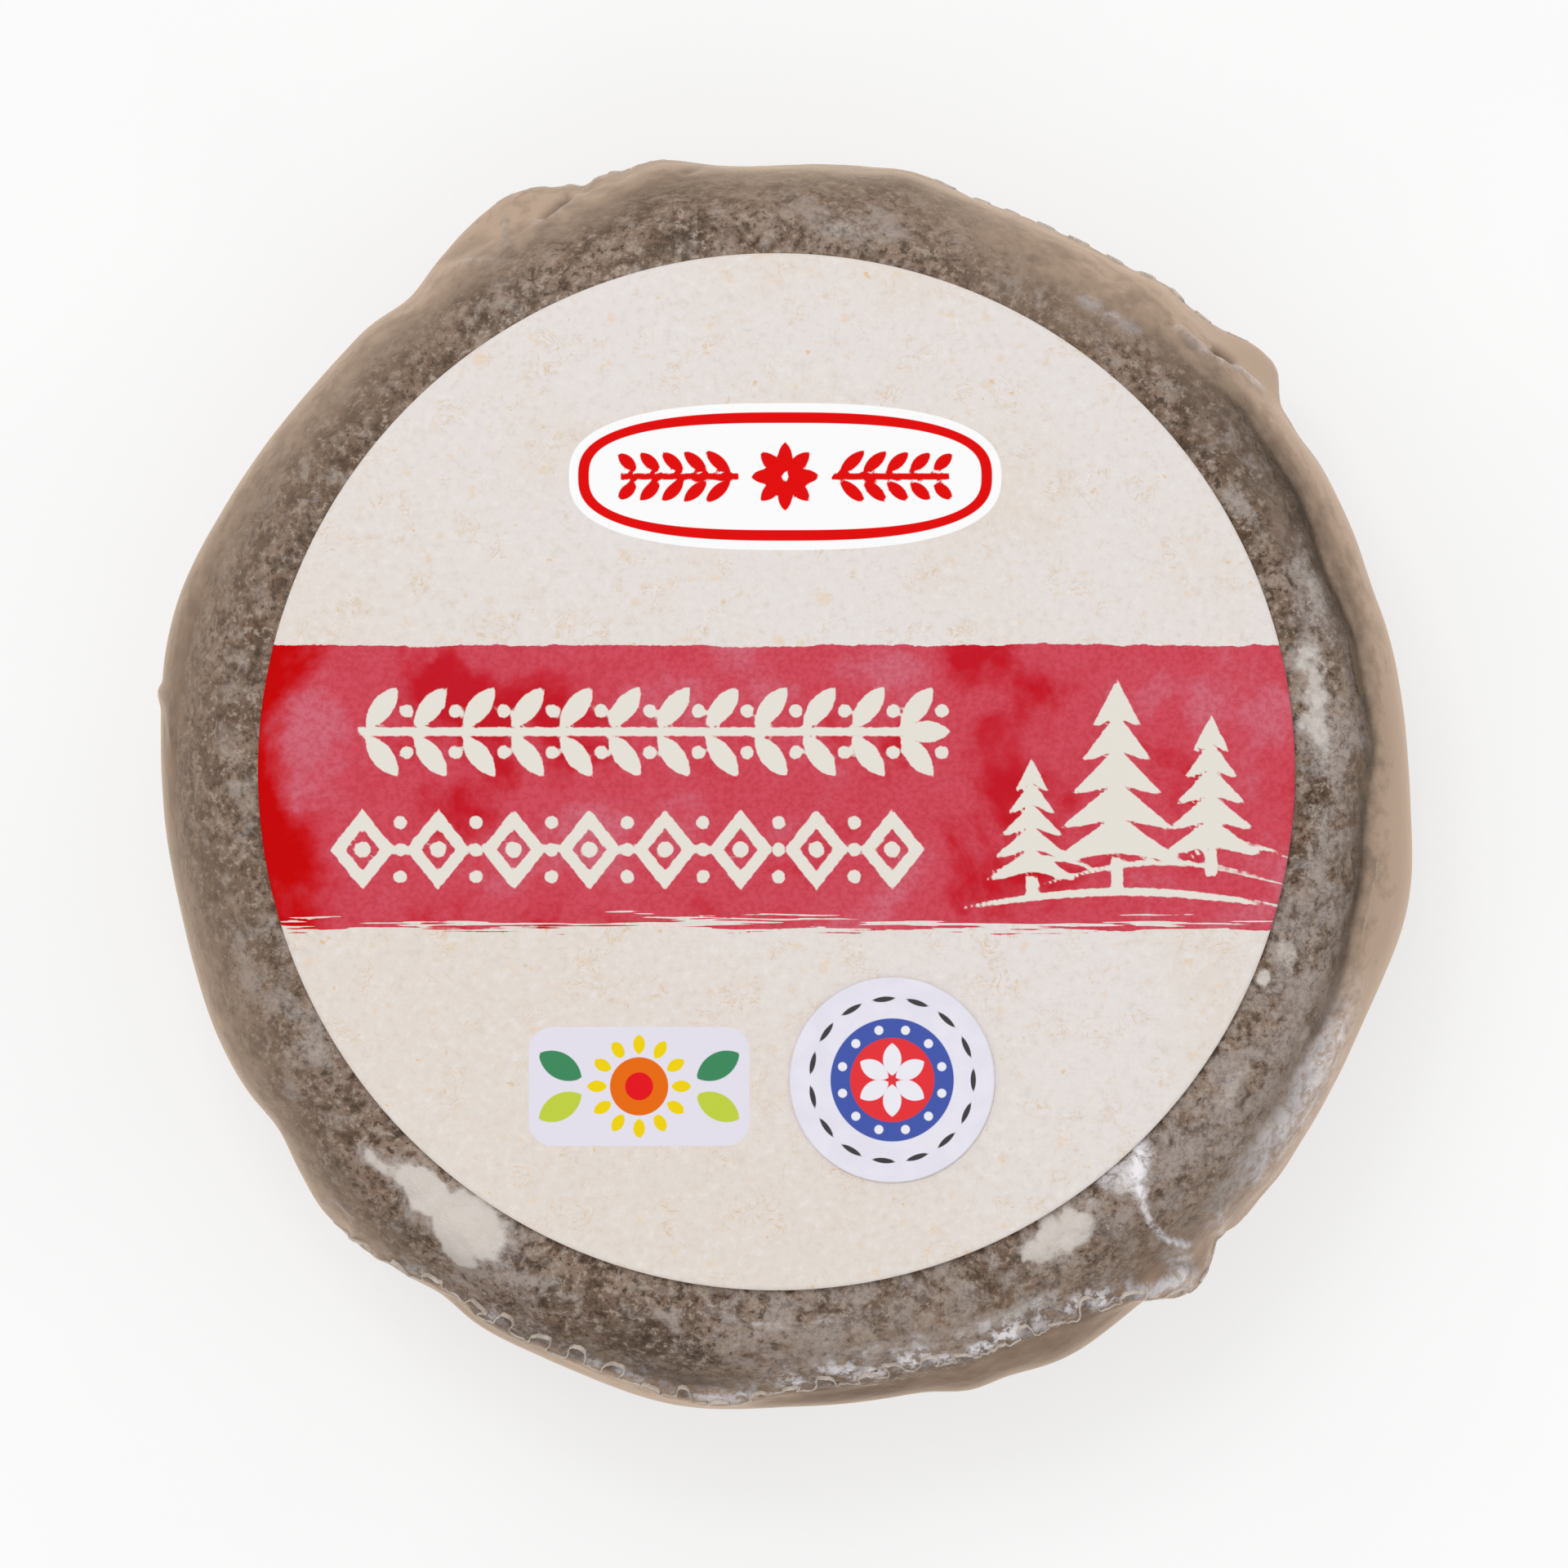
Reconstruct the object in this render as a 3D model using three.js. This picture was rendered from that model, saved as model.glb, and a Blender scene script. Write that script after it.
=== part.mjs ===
// A small wheel of mountain cheese with a grey mouldy rind, sealed in clear shrink film, with a
// round paper label stuck on the film and a small round sticker stuck on the label.
// Millimetres, +Z up. The wheel lies flat and +Y is the way up of the label's print. The origin is
// on the surface that the wheel rests on, under the middle of its box.

import * as THREE from "three";

// The wheel in its film
const FILM_RADIUS = 58.6; // mean radius seen from above, between the bumps below
const HEIGHT = 38; // top of the film at the middle of the wheel
const WAIST = 18; // height at which the side stands out furthest
const SHOULDER_REACH = 13; // how far in from the outline the top starts to round over
const FOOT_RADIUS = 44; // flat spot that it rests on
const TOP_ROUNDNESS = 2.8; // exponent of the rounding above the waist: 2 is an ellipse
const FOOT_ROUNDNESS = 3.2; // the same below the waist, where the weight has squared it
const DOME = 0.9; // how much lower the top is at its edge than at its middle
const TOP_WAVE = { out: 0.22, length: 84 }; // slow unevenness of the top

// The paper label and the sticker on it
const LABEL = { x: -0.8, y: 1.1, radius: 48, thickness: 0.3 };
const STICKER = { x: 9.9, y: -27.4, radius: 9.5, thickness: 0.25 };
const PAPER_GAP = 0.12; // between a paper and what it lies on

// Bumps and hollows of the outline seen from above: where the film is pulled taut it cuts in, and
// where it bridges a gap it stands out. Degrees anticlockwise from +X, then millimetres.
const OUTLINE_BUMPS = [
  { at: 19, out: -0.3, width: 4 },
  { at: 53, out: 0.7, width: 3 },
  { at: 68, out: -0.4, width: 7 },
  { at: 79, out: 0.5, width: 3 },
  { at: 80, out: -0.7, width: 38 },
  { at: 102, out: 1.3, width: 5 },
  { at: 128, out: -0.7, width: 3 },
  { at: 139, out: -0.5, width: 9 },
  { at: 165, out: 1.1, width: 10 },
  { at: 193, out: -0.5, width: 10 },
  { at: 214, out: -0.5, width: 3 },
  { at: 236, out: -0.7, width: 3 },
  { at: 260, out: 0.8, width: 7 },
  { at: 287, out: 0.8, width: 3 },
  { at: 296, out: 1.4, width: 7 },
  { at: 318, out: 0.6, width: 16 },
  { at: 349, out: 1.1, width: 8 },
];

// The four ears of the film bag, where its corners have shrunk against the side
const EARS = [
  { at: 42, out: 2.3, width: 4 },
  { at: 115, out: 2.8, width: 7 },
  { at: 225, out: 1, width: 6 },
  { at: 309, out: 1.9, width: 3.5 },
];
const EAR_HEIGHT = 16; // half-height of an ear, in degrees of the side's rounding

// The welded seam: it runs round three sides, and the fourth, on the left, is the film's fold.
// rise is the height on the side: 0 at the waist, 90 at the top and -90 at the foot.
const SEAM_ROUTE = [
  { at: 0, rise: -22 },
  { at: 22, rise: -12 },
  { at: 42, rise: 4 },
  { at: 62, rise: 0 },
  { at: 74, rise: -8 },
  { at: 94, rise: -8 },
  { at: 108, rise: 4 },
  { at: 170, rise: 6 },
  { at: 225, rise: 8 },
  { at: 231, rise: 28 },
  { at: 238, rise: 38 },
  { at: 256, rise: 40 },
  { at: 264, rise: 28 },
  { at: 271, rise: 42 },
  { at: 287, rise: 52 },
  { at: 296, rise: 54 },
  { at: 303, rise: 45 },
  { at: 310, rise: 12 },
  { at: 332, rise: -16 },
];
const SEAM_LIP = 0.9; // how far the welded lip stands out
const SEAM_HALF_THICKNESS = 1.6; // of the lip's foot, in degrees of the side's rounding
const LIP_WAVES = 48; // crimps of the lip round the wheel
const FOLD = { from: 128, to: 222, fade: 12 }; // the side with no seam, in degrees

// Fineness of the faceted solids
const SEGMENTS = 192;
const TOP_RINGS = [0.3, 0.62, 0.86];
const RINGS_BELOW_SEAM = 9;
const RINGS_ABOVE_SEAM = 8;
const LABEL_SEGMENTS = 96;
const LABEL_RINGS = [0.34, 0.68, 0.86, 0.92, 0.96, 1];
const STICKER_SEGMENTS = 48;
const STICKER_RINGS = [0.5, 1];

const TURN = 360;
const radians = THREE.MathUtils.degToRad;

// A value between two angles the short way round, in degrees
function angleBetween(a, b) {
  return THREE.MathUtils.euclideanModulo(a - b + TURN / 2, TURN) - TURN / 2;
}

function bump(angle, { at, out, width }) {
  return out * Math.exp(-((angleBetween(angle, at) / width) ** 2));
}

function total(list, angle) {
  return list.reduce((sum, one) => sum + bump(angle, one), 0);
}

function outlineRadius(angle) {
  return FILM_RADIUS + total(OUTLINE_BUMPS, angle);
}

// Height of the seam on the side, smooth between the points of its route
function seamRise(angle) {
  const after = SEAM_ROUTE.find((point) => point.at > angle) ?? SEAM_ROUTE[0];
  const before = SEAM_ROUTE.at(SEAM_ROUTE.indexOf(after) - 1);
  const span = THREE.MathUtils.euclideanModulo(after.at - before.at, TURN);
  const share = THREE.MathUtils.euclideanModulo(angle - before.at, TURN) / span;
  return THREE.MathUtils.lerp(before.rise, after.rise, THREE.MathUtils.smoothstep(share, 0, 1));
}

// 1 where the lip is welded, 0 along the fold
function weld(angle) {
  const { smoothstep } = THREE.MathUtils;
  const { from, to, fade } = FOLD;
  return 1 - smoothstep(angle, from - fade, from) * (1 - smoothstep(angle, to, to + fade));
}

function lipHeight(angle) {
  const crimp = 0.8 + 0.2 * Math.sin(radians(LIP_WAVES * angle));
  return SEAM_LIP * weld(angle) * crimp;
}

// Height of the flat part of the top, before its edge rounds over
function plateau(x, y) {
  const wave = (2 * Math.PI) / TOP_WAVE.length;
  const domed = HEIGHT - DOME * ((x * x + y * y) / (FILM_RADIUS * FILM_RADIUS));
  return domed + TOP_WAVE.out * Math.sin(wave * x + 1) * Math.cos(wave * 0.8 * y - 0.6);
}

// A point of the film's side: rise is -90 at the foot's edge, 0 at the waist, 90 at the top's edge
function sidePoint(angle, rise, lip) {
  const turn = radians(angle);
  const up = Math.abs(Math.sin(radians(rise)));
  const out = Math.cos(radians(rise));
  const roundness = 2 / (rise > 0 ? TOP_ROUNDNESS : FOOT_ROUNDNESS);
  const inner = rise > 0 ? FILM_RADIUS - SHOULDER_REACH : FOOT_RADIUS;
  const nearSeam = Math.exp(-(((rise - seamRise(angle)) / EAR_HEIGHT) ** 2));
  const reach = (outlineRadius(angle) - inner) * out ** roundness;
  const radius = inner + reach + total(EARS, angle) * nearSeam + lip;
  const x = radius * Math.cos(turn);
  const y = radius * Math.sin(turn);
  const half = rise > 0 ? plateau(x, y) - WAIST : -WAIST;
  return new THREE.Vector3(x, y, WAIST + half * up ** roundness);
}

// Height of the film at a place on its top, as far out as the label reaches
function topHeight(x, y) {
  const angle = THREE.MathUtils.euclideanModulo(THREE.MathUtils.radToDeg(Math.atan2(y, x)), TURN);
  const inner = FILM_RADIUS - SHOULDER_REACH;
  const share = Math.max(0, (Math.hypot(x, y) - inner) / (outlineRadius(angle) - inner));
  const level = (1 - share ** TOP_ROUNDNESS) ** (1 / TOP_ROUNDNESS);
  return WAIST + (plateau(x, y) - WAIST) * level;
}

// Heights of the rings of the side at one angle, from the foot's edge to the top's, packed at the lip
function sideRings(angle) {
  const seam = seamRise(angle);
  const rings = [];
  for (let i = 0; i <= RINGS_BELOW_SEAM; i++) {
    const share = i / RINGS_BELOW_SEAM;
    rings.push({ rise: THREE.MathUtils.lerp(-90, seam - SEAM_HALF_THICKNESS, share), lip: 0 });
  }
  rings.push({ rise: seam, lip: lipHeight(angle) });
  for (let i = 0; i <= RINGS_ABOVE_SEAM; i++) {
    const share = i / RINGS_ABOVE_SEAM;
    rings.push({ rise: THREE.MathUtils.lerp(seam + SEAM_HALF_THICKNESS, 90, share), lip: 0 });
  }
  return rings;
}

// One meridian of the wheel, from the middle of the foot round the side to the middle of the top
function meridian(angle) {
  const turn = radians(angle);
  const flat = (radius, height) =>
    new THREE.Vector3(radius * Math.cos(turn), radius * Math.sin(turn), height);
  const points = [flat(0, 0), flat(FOOT_RADIUS / 2, 0)];
  sideRings(angle).forEach(({ rise, lip }) => points.push(sidePoint(angle, rise, lip)));
  const inner = FILM_RADIUS - SHOULDER_REACH;
  [...TOP_RINGS].reverse().forEach((share) => {
    const point = flat(inner * share, 0);
    points.push(point.setZ(plateau(point.x, point.y)));
  });
  points.push(flat(0, plateau(0, 0)));
  return points;
}

// A lathe gives the closed net of faces, and each of its meridians is then set to its true points
function wheelGeometry() {
  const count = meridian(0).length;
  const profile = Array.from({ length: count }, (_, i) => {
    const share = i / (count - 1);
    return new THREE.Vector2(FILM_RADIUS * Math.sin(Math.PI * share), HEIGHT * share);
  });
  const geometry = new THREE.LatheGeometry(profile, SEGMENTS);
  const places = geometry.getAttribute("position");
  for (let segment = 0; segment <= SEGMENTS; segment++) {
    const angle = ((segment % SEGMENTS) * TURN) / SEGMENTS;
    meridian(angle).forEach(({ x, y, z }, ring) => {
      places.setXYZ(segment * count + ring, x, y, z);
    });
  }
  geometry.computeVertexNormals();
  return geometry;
}

// A thin round sheet that lies on a height function
function sheetGeometry({ x, y, radius, thickness }, segments, rings, heightBelow) {
  const under = [0, ...rings].map((share) => new THREE.Vector2(share * radius, 0));
  const over = [...under].reverse().map((point) => new THREE.Vector2(point.x, thickness));
  const geometry = new THREE.LatheGeometry([...under, ...over], segments);
  geometry.rotateX(Math.PI / 2);
  const places = geometry.getAttribute("position");
  for (let i = 0; i < places.count; i++) {
    const px = places.getX(i) + x;
    const py = places.getY(i) + y;
    places.setXYZ(i, px, py, places.getZ(i) + heightBelow(px, py));
  }
  geometry.computeVertexNormals();
  return geometry;
}

function part(name, geometry, colour, roughness) {
  const material = new THREE.MeshStandardMaterial({ color: colour, roughness, metalness: 0 });
  const mesh = new THREE.Mesh(geometry, material);
  mesh.name = name;
  return mesh;
}

function wrappedWheel() {
  return part("wrapped_cheese_wheel", wheelGeometry(), 0x80705f, 0.45);
}

function paperLabel() {
  const onFilm = (x, y) => topHeight(x, y) + PAPER_GAP;
  const sheet = sheetGeometry(LABEL, LABEL_SEGMENTS, LABEL_RINGS, onFilm);
  return part("paper_label", sheet, 0xe5dcd4, 0.7);
}

function roundSticker() {
  const onLabel = (x, y) => topHeight(x, y) + 2 * PAPER_GAP + LABEL.thickness;
  const sheet = sheetGeometry(STICKER, STICKER_SEGMENTS, STICKER_RINGS, onLabel);
  return part("round_sticker", sheet, 0xeae7f2, 0.6);
}

// The origin goes under the middle of the wheel's box
function centred(group) {
  const middle = new THREE.Box3().setFromObject(group).getCenter(new THREE.Vector3());
  group.children.forEach((mesh) => mesh.geometry.translate(-middle.x, -middle.y, 0));
  return group;
}

const cheese = centred(new THREE.Group().add(wrappedWheel(), paperLabel(), roundSticker()));

export default cheese;
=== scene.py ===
"""A small wheel of mountain cheese in clear shrink film, with a printed round label and a sticker.

Lengths are millimetres until a mesh is made. Angles are degrees anticlockwise from +X, seen from
above, and a rise is a place on the rounding of the side: 90 at the top's edge, 0 at the waist and
-90 at the foot's edge. Colours are as they look in daylight, from 0 to 255.
"""

import bpy
import numpy as np
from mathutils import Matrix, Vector, noise


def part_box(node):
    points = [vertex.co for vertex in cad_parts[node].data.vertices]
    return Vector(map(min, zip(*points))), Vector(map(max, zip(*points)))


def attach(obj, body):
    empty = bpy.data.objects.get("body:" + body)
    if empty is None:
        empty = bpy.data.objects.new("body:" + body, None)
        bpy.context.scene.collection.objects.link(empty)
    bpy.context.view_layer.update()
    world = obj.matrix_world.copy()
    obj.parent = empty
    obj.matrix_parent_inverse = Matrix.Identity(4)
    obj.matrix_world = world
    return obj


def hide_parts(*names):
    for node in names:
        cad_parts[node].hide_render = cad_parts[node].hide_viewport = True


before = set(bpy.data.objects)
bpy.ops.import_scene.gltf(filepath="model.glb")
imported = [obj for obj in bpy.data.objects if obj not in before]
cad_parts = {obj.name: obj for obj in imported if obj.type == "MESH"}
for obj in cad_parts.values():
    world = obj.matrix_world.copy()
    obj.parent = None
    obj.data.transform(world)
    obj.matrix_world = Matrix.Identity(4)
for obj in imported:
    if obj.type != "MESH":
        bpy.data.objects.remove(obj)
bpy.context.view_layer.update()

MM = 0.001
WHEEL = "wrapped_cheese_wheel"
LABEL = "paper_label"
STICKER = "round_sticker"
BODY = "root"

# The wheel's form, as the solids have it
FILM_RADIUS = 58.6
HEIGHT = 38
WAIST = 18
SHOULDER_REACH = 13
SHOULDER = FILM_RADIUS - SHOULDER_REACH
FOOT_RADIUS = 44
TOP_ROUNDNESS = 2.8
FOOT_ROUNDNESS = 3.2
DOME = 0.9
TOP_WAVE_OUT = 0.22
TOP_WAVE_LENGTH = 84
LABEL_MIDDLE = (-0.8, 1.1)
PAPER_GAP = 0.12
LABEL_THICKNESS = 0.3
STICKER_THICKNESS = 0.25

# Bumps of the film's outline: where each is, how far it stands out, and its width in degrees
OUTLINE_BUMPS = [
    (19, -0.3, 4),
    (53, 0.7, 3),
    (68, -0.4, 7),
    (79, 0.5, 3),
    (80, -0.7, 38),
    (102, 1.3, 5),
    (128, -0.7, 3),
    (139, -0.5, 9),
    (165, 1.1, 10),
    (193, -0.5, 10),
    (214, -0.5, 3),
    (236, -0.7, 3),
    (260, 0.8, 7),
    (287, 0.8, 3),
    (296, 1.4, 7),
    (318, 0.6, 16),
    (349, 1.1, 8),
]

# The four shrunk corners in the same way, and the swell along the seam. The heights are the
# degrees of rise over which each fades out
EARS = [(42, 2.3, 4), (115, 2.8, 7), (225, 1, 6), (309, 1.9, 3.5)]
EAR_HEIGHT = 16
SEAM_SWELL = 0.6
SWELL_HEIGHT = 9

# Small tips and notches of the film: angle, how far out, width in degrees
TIPS = [
    (34.5, -0.55, 3),
    (37.6, -0.6, 1.5),
    (42.0, -0.5, 2.6),
    (45, -0.4, 2.5),
    (55, -0.5, 6),
    (63, -0.3, 3),
    (76, 0.4, 3),
    (84, 0.45, 6),
    (103.6, 0.15, 0.7),
    (104.4, -0.45, 2),
    (105.8, 0.15, 0.6),
    (108.6, -0.7, 0.9),
    (110.6, -0.4, 1.8),
    (114, -0.5, 5),
    (118.5, -0.3, 3),
    (172, 0.35, 0.8),
    (216, -0.5, 7),
    (226, -0.55, 2.5),
    (231, -0.4, 4),
    (304, 0.35, 3),
    (310, -0.5, 2.6),
    (313.6, -0.95, 1.4),
    (318, -0.45, 4),
]

# The welded seam's route round the side: angle and rise
SEAM_ROUTE = [
    (0, -22),
    (22, -12),
    (42, 4),
    (62, 0),
    (74, -8),
    (94, -8),
    (108, 4),
    (170, 6),
    (225, 8),
    (231, 28),
    (238, 38),
    (256, 40),
    (264, 33),
    (271, 46),
    (287, 52),
    (296, 54),
    (303, 45),
    (310, 12),
    (332, -16),
]

# The side where the film is folded over and has no weld, in degrees
FOLD_FROM = 128
FOLD_TO = 222
FOLD_FADE = 12

# The cheese inside: its outline, and the air between it and the film
CHEESE_RADIUS = 57.5
CHEESE_WAVES = [(2, 0.35, 40), (3, 0.3, 110), (5, 0.2, 75), (9, 0.12, 10)]
FILM_AIR = 0.5

# Where the film spans from the cheese's top edge to its side: the angle of the middle, the width in
# degrees, how much further in the cheese lies, and the radius of its top edge
BRIDGE_MIDDLE = 6
BRIDGE_WIDTH = 36
BRIDGE_AIR = 1.9
BRIDGE_EDGE = 54.4

# Patches of pale mould on the rind: angle, radius, half-length along the rim, half-width, strength
MOULD = [
    (330, 51.5, 30.0, 6.0, 0.68),
    (325, 59.2, 14.0, 4.0, 0.95),
    (343, 58.8, 9.0, 3.6, 0.88),
    (333, 54.6, 3.6, 1.6, 0.9),
    (321, 53.6, 3.0, 1.5, 0.85),
    (347, 54.6, 4.0, 1.4, 0.8),
    (277, 51.0, 18.0, 5.5, 0.62),
    (8, 49.8, 9.0, 2.4, 1.05),
    (228.8, 50.4, 4.2, 2.4, 1.6),
    (234.4, 50.4, 5.0, 3.8, 1.6),
    (235.4, 53.0, 2.8, 1.8, 1.4),
    (222.6, 51.6, 2.2, 0.8, 1.1),
    (225.2, 51.2, 1.8, 0.7, 1.0),
    (237, 52.0, 9.0, 3.6, 0.5),
    (204, 51.0, 9.0, 3.0, 0.45),
    (84, 52.6, 7.0, 2.8, 0.8),
    (60, 50.6, 5.6, 1.2, 0.62),
    (19, 52.0, 5.2, 2.6, 0.85),
    (31, 49.6, 3.0, 1.2, 0.6),
    (6, 50.8, 7.0, 3.0, 0.75),
    (354, 50.6, 6.0, 2.8, 0.62),
    (341, 49.2, 2.8, 1.8, 0.95),
    (338, 47.9, 1.3, 1.0, 1.2),
    (325.6, 50.0, 3.4, 1.7, 0.85),
    (318, 50.8, 3.0, 1.8, 0.75),
    (301.5, 48.9, 6.2, 2.9, 1.2),
    (311.0, 48.6, 2.4, 1.4, 1.5),
    (313, 53.6, 2.2, 1.2, 0.75),
    (326, 56.4, 4.4, 1.1, 0.8),
    (146.6, 53.6, 1.8, 1.2, 0.75),
    (151.3, 56.0, 1.7, 1.0, 0.55),
    (121, 52.2, 3.0, 1.8, 0.6),
    (212, 54.5, 1.6, 1.2, 0.75),
    (209, 49.8, 3.6, 1.6, 0.72),
    (229, 56.0, 1.6, 1.0, 0.7),
    (270, 51.6, 6.0, 1.2, 0.55),
    (280, 54.0, 9.0, 2.4, 0.85),
    (292, 54.0, 6.0, 1.9, 0.95),
    (282, 49.8, 6.0, 1.6, 0.5),
    (180, 50.5, 4.0, 1.6, 0.42),
    (200, 53.0, 5.0, 1.8, 0.46),
    (168, 53.0, 4.0, 1.6, 0.4),
]

# Darker, damper stretches of the rind, in the same way
DAMP = [
    (284, 61.5, 20.0, 4.5, 0.9),
    (80, 63.0, 10.0, 3.6, 0.9),
    (122, 50.4, 7.0, 1.6, 0.7),
    (258, 54.0, 7.0, 2.2, 1.0),
    (102, 51.0, 6.5, 1.6, 0.8),
    (66, 50.6, 6.0, 1.7, 0.9),
    (45, 52.6, 4.5, 1.3, 0.9),
    (221, 55.8, 3.4, 1.8, 0.8),
    (157, 50.2, 4.5, 1.2, 0.6),
    (137, 50.4, 3.2, 1.4, 0.7),
    (246, 51.5, 5.0, 1.6, 0.5),
    (172, 51.5, 4.0, 1.8, 0.35),
    (292, 51.0, 4.5, 1.2, 0.5),
    (330, 52.8, 4.0, 1.3, 0.55),
]

# Stretches where the rind is smoother and greyer, in the same way
CALM = [
    (27, 53.4, 18.0, 3.2, 1.0),
    (0, 53.6, 12.0, 2.2, 0.6),
]

# Creases of the film seen from above: their points, how high they stand, half-width, how much the film
# is frosted along them, partly as a painted highlight, and how much painted shade lies along them
CREASES = [
    ([(32.9, -38.8), (33.9, -40.8), (35.4, -42.3), (37.4, -42.9)], 0.3, 0.3, 0.7, 0),
    ([(33.0, -34.2), (32.4, -36.6)], 0.1, 1.2, 0.95, 0),
    ([(32.5, -36.4), (32.9, -38.0)], 0.15, 0.75, 0.95, 0),
    ([(32.9, -38.0), (33.2, -39.4)], 0.2, 0.45, 0.8, 0),
    ([(29.6, -36.8), (32.2, -36.2)], 0.1, 0.9, 0.6, 0),
    ([(30.6, -36.0), (33.2, -34.0)], 0.05, 1.0, 0.6, 0),
    ([(36.4, -44.4), (37.4, -46.2)], 0.3, 1.4, 0.4, 0),
    ([(36.6, -46.2), (34.4, -47.0), (32.4, -47.4)], 0.2, 0.6, 0.6, 0),
    ([(-7.2, -48.4), (-3.6, -50.0), (0.6, -50.3), (4.7, -49.6)], 0.06, 0.4, 0.32, 0),
    ([(36.2, -44.6), (38.2, -45.2)], -0.3, 0.35, 0, 0.55),
    ([(40.4, -39.8), (40.9, -42.4)], 0.2, 0.5, 0.3, 0),
    ([(-43.2, -39.0), (-41.4, -38.7), (-40.1, -40.2), (-40.4, -42.6)], 0.3, 0.4, 0.16, 0),
    ([(36.4, 42.4), (39.7, 39.5), (41.9, 38.9), (44.4, 36.8)], 0.4, 0.4, 0.2, 0),
    ([(40.3, 40.4), (41.6, 39.4)], -0.7, 0.45, 0, 0.9),
    ([(-22.5, 53.0), (-21.2, 54.1), (-20.4, 54.7)], -0.5, 0.4, 0, 0.6),
    ([(-23.4, 52.2), (-21.4, 53.2), (-19.6, 54.6)], 0.25, 0.45, 0.14, 0),
    ([(-26.4, 53.2), (-26.1, 51.6), (-25.8, 50.0)], 0.2, 0.4, 0.15, 0.2),
    ([(-31.0, 48.4), (-29.0, 48.8), (-26.8, 48.5), (-24.6, 47.9)], 0.22, 0.4, 0.12, 0),
    ([(-9.4, 57.1), (-8.0, 57.7)], -0.3, 0.4, 0, 0.45),
    ([(51.7, 13.2), (52.3, 8.2), (53.9, 3.4)], 0.45, 0.6, 0.18, 0),
    ([(52.9, 13.0), (53.9, 8.6)], -0.35, 0.45, 0, 0.6),
    ([(-31.2, 49.4), (-28.4, 50.8)], -0.2, 0.8, 0, 0.3),
    ([(-20.0, 48.5), (-19.9, 48.6)], -0.2, 0.35, 0, 0.95),
    ([(-13.3, 48.6), (-13.2, 48.6)], -0.1, 0.2, 0, 0.8),
    ([(-23.5, -45.3), (-23.4, -45.3)], -0.2, 0.3, 0, 0.9),
    ([(27.6, 44.9), (32.4, 42.0)], 0.2, 0.75, 0.22, 0),
    ([(-59.0, 9.2), (-57.6, 7.6), (-57.0, 4.0)], 0.2, 0.4, 0.15, 0.15),
    ([(42.6, -33.9), (41.2, -37.6)], 0.12, 0.7, 0.16, 0),
    ([(44.6, -34.2), (43.6, -36.6)], 0, 0.9, 0.44, 0),
]

# How milky the film looks from above, round the side: angle, amount at the outline, and how many
# millimetres inward it fades out
MILKY = [
    (0, 0.85, 4.2),
    (17, 0.44, 1.7),
    (40, 0.9, 2.7),
    (58, 0.86, 7.4),
    (80, 0.2, 6.8),
    (98, 0.42, 4.0),
    (120, 0.8, 4.3),
    (140, 0.66, 5.0),
    (158, 0.5, 5.6),
    (180, 0.28, 6.0),
    (202, 0.46, 6.4),
    (220, 0.45, 3.6),
    (240, 0.32, 1.8),
    (254, 0.9, 2.4),
    (265, 0.8, 2.6),
    (272, 0.2, 6.0),
    (284, 0.36, 8.0),
    (302, 0.42, 5.4),
    (320, 0.55, 4.4),
    (340, 0.74, 4.4),
]

# A clearer stretch along the outline: angle, width in degrees, how much less haze, and how far in
CLEAR_EDGE = (280, 12, 0.4, 2.0)

# A frosted stretch of the rim: angle, width in degrees, distance in from the outline, half-width
# and amount
FROSTED_RIM = (326, 13, 2.9, 2.2, 0.36)

# Milkiness of the film everywhere, at its outline, where it spans, and on its side, and how many
# degrees its stretches waver
FILM_VEIL = 0.05
EDGE_MILK = 0.22
SPAN_MILK = 0.5
SIDE_HAZE = 0.4
HAZE_WAVER = 5

# How far the seam's lip stands out round the side: angle and share of its full size
LIP_SIZE = [
    (0, 0.12),
    (36, 0.15),
    (44, 0.3),
    (50, 0.65),
    (72, 0.65),
    (78, 0.2),
    (98, 0.2),
    (102, 0.45),
    (109, 0.4),
    (114, 0.25),
    (128, 0.0),
    (222, 0.0),
    (228, 0.8),
    (234, 1.15),
    (256, 1.1),
    (262, 0.95),
    (300, 1.1),
    (310, 0.7),
    (316, 0.2),
]

# The loops of the seam: how many degrees apart, the least share of full height, and the full
# height in millimetres. They crowd together before one angle and after another, counted on from
# the start of the seam
LOOP_GAPS = (2.3, 5.2)
LOOP_LEAST = 0.12
LOOP_DEPTH = 2.3
CROWDED_GAPS = (2.9, 4.4)
CROWDED_LEAST = 0.65
LOOPS_CROWD_TO = 252
LOOPS_CROWD_FROM = 402

# The stretch along the front where the welded band is whitest: angles that it fades in and out over
FRONT_STARTS = (260, 270)
FRONT_ENDS = (303, 310)

# The seam's line: the angles it runs between, how far past the fold its loops are, and its points
SEAM_STARTS = FOLD_TO + 2
SEAM_ENDS = 360 + FOLD_FROM - 4
LOOP_MARGIN = 6
SEAM_POINTS = 2800

# The rind's relief in millimetres: its swells, its crust, the mould, and the most it may stand out
SWELL_DEPTH = 0.16
CRUST_DEPTH = 0.36
MOULD_DEPTH = 0.1
CRUST_LIMIT = 0.3

# The film in millimetres: the height of its pleats and of its slack, how far the pleats and the welded
# band reach from the seam, and the size of the painted shade in the pocket of each loop
PLEAT_DEPTH = 0.16
SLACK_DEPTH = 0.05
PLEATS_REACH = 4.0
WELD_REACH = 3.2
POCKET_SIZE = 0.6

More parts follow.
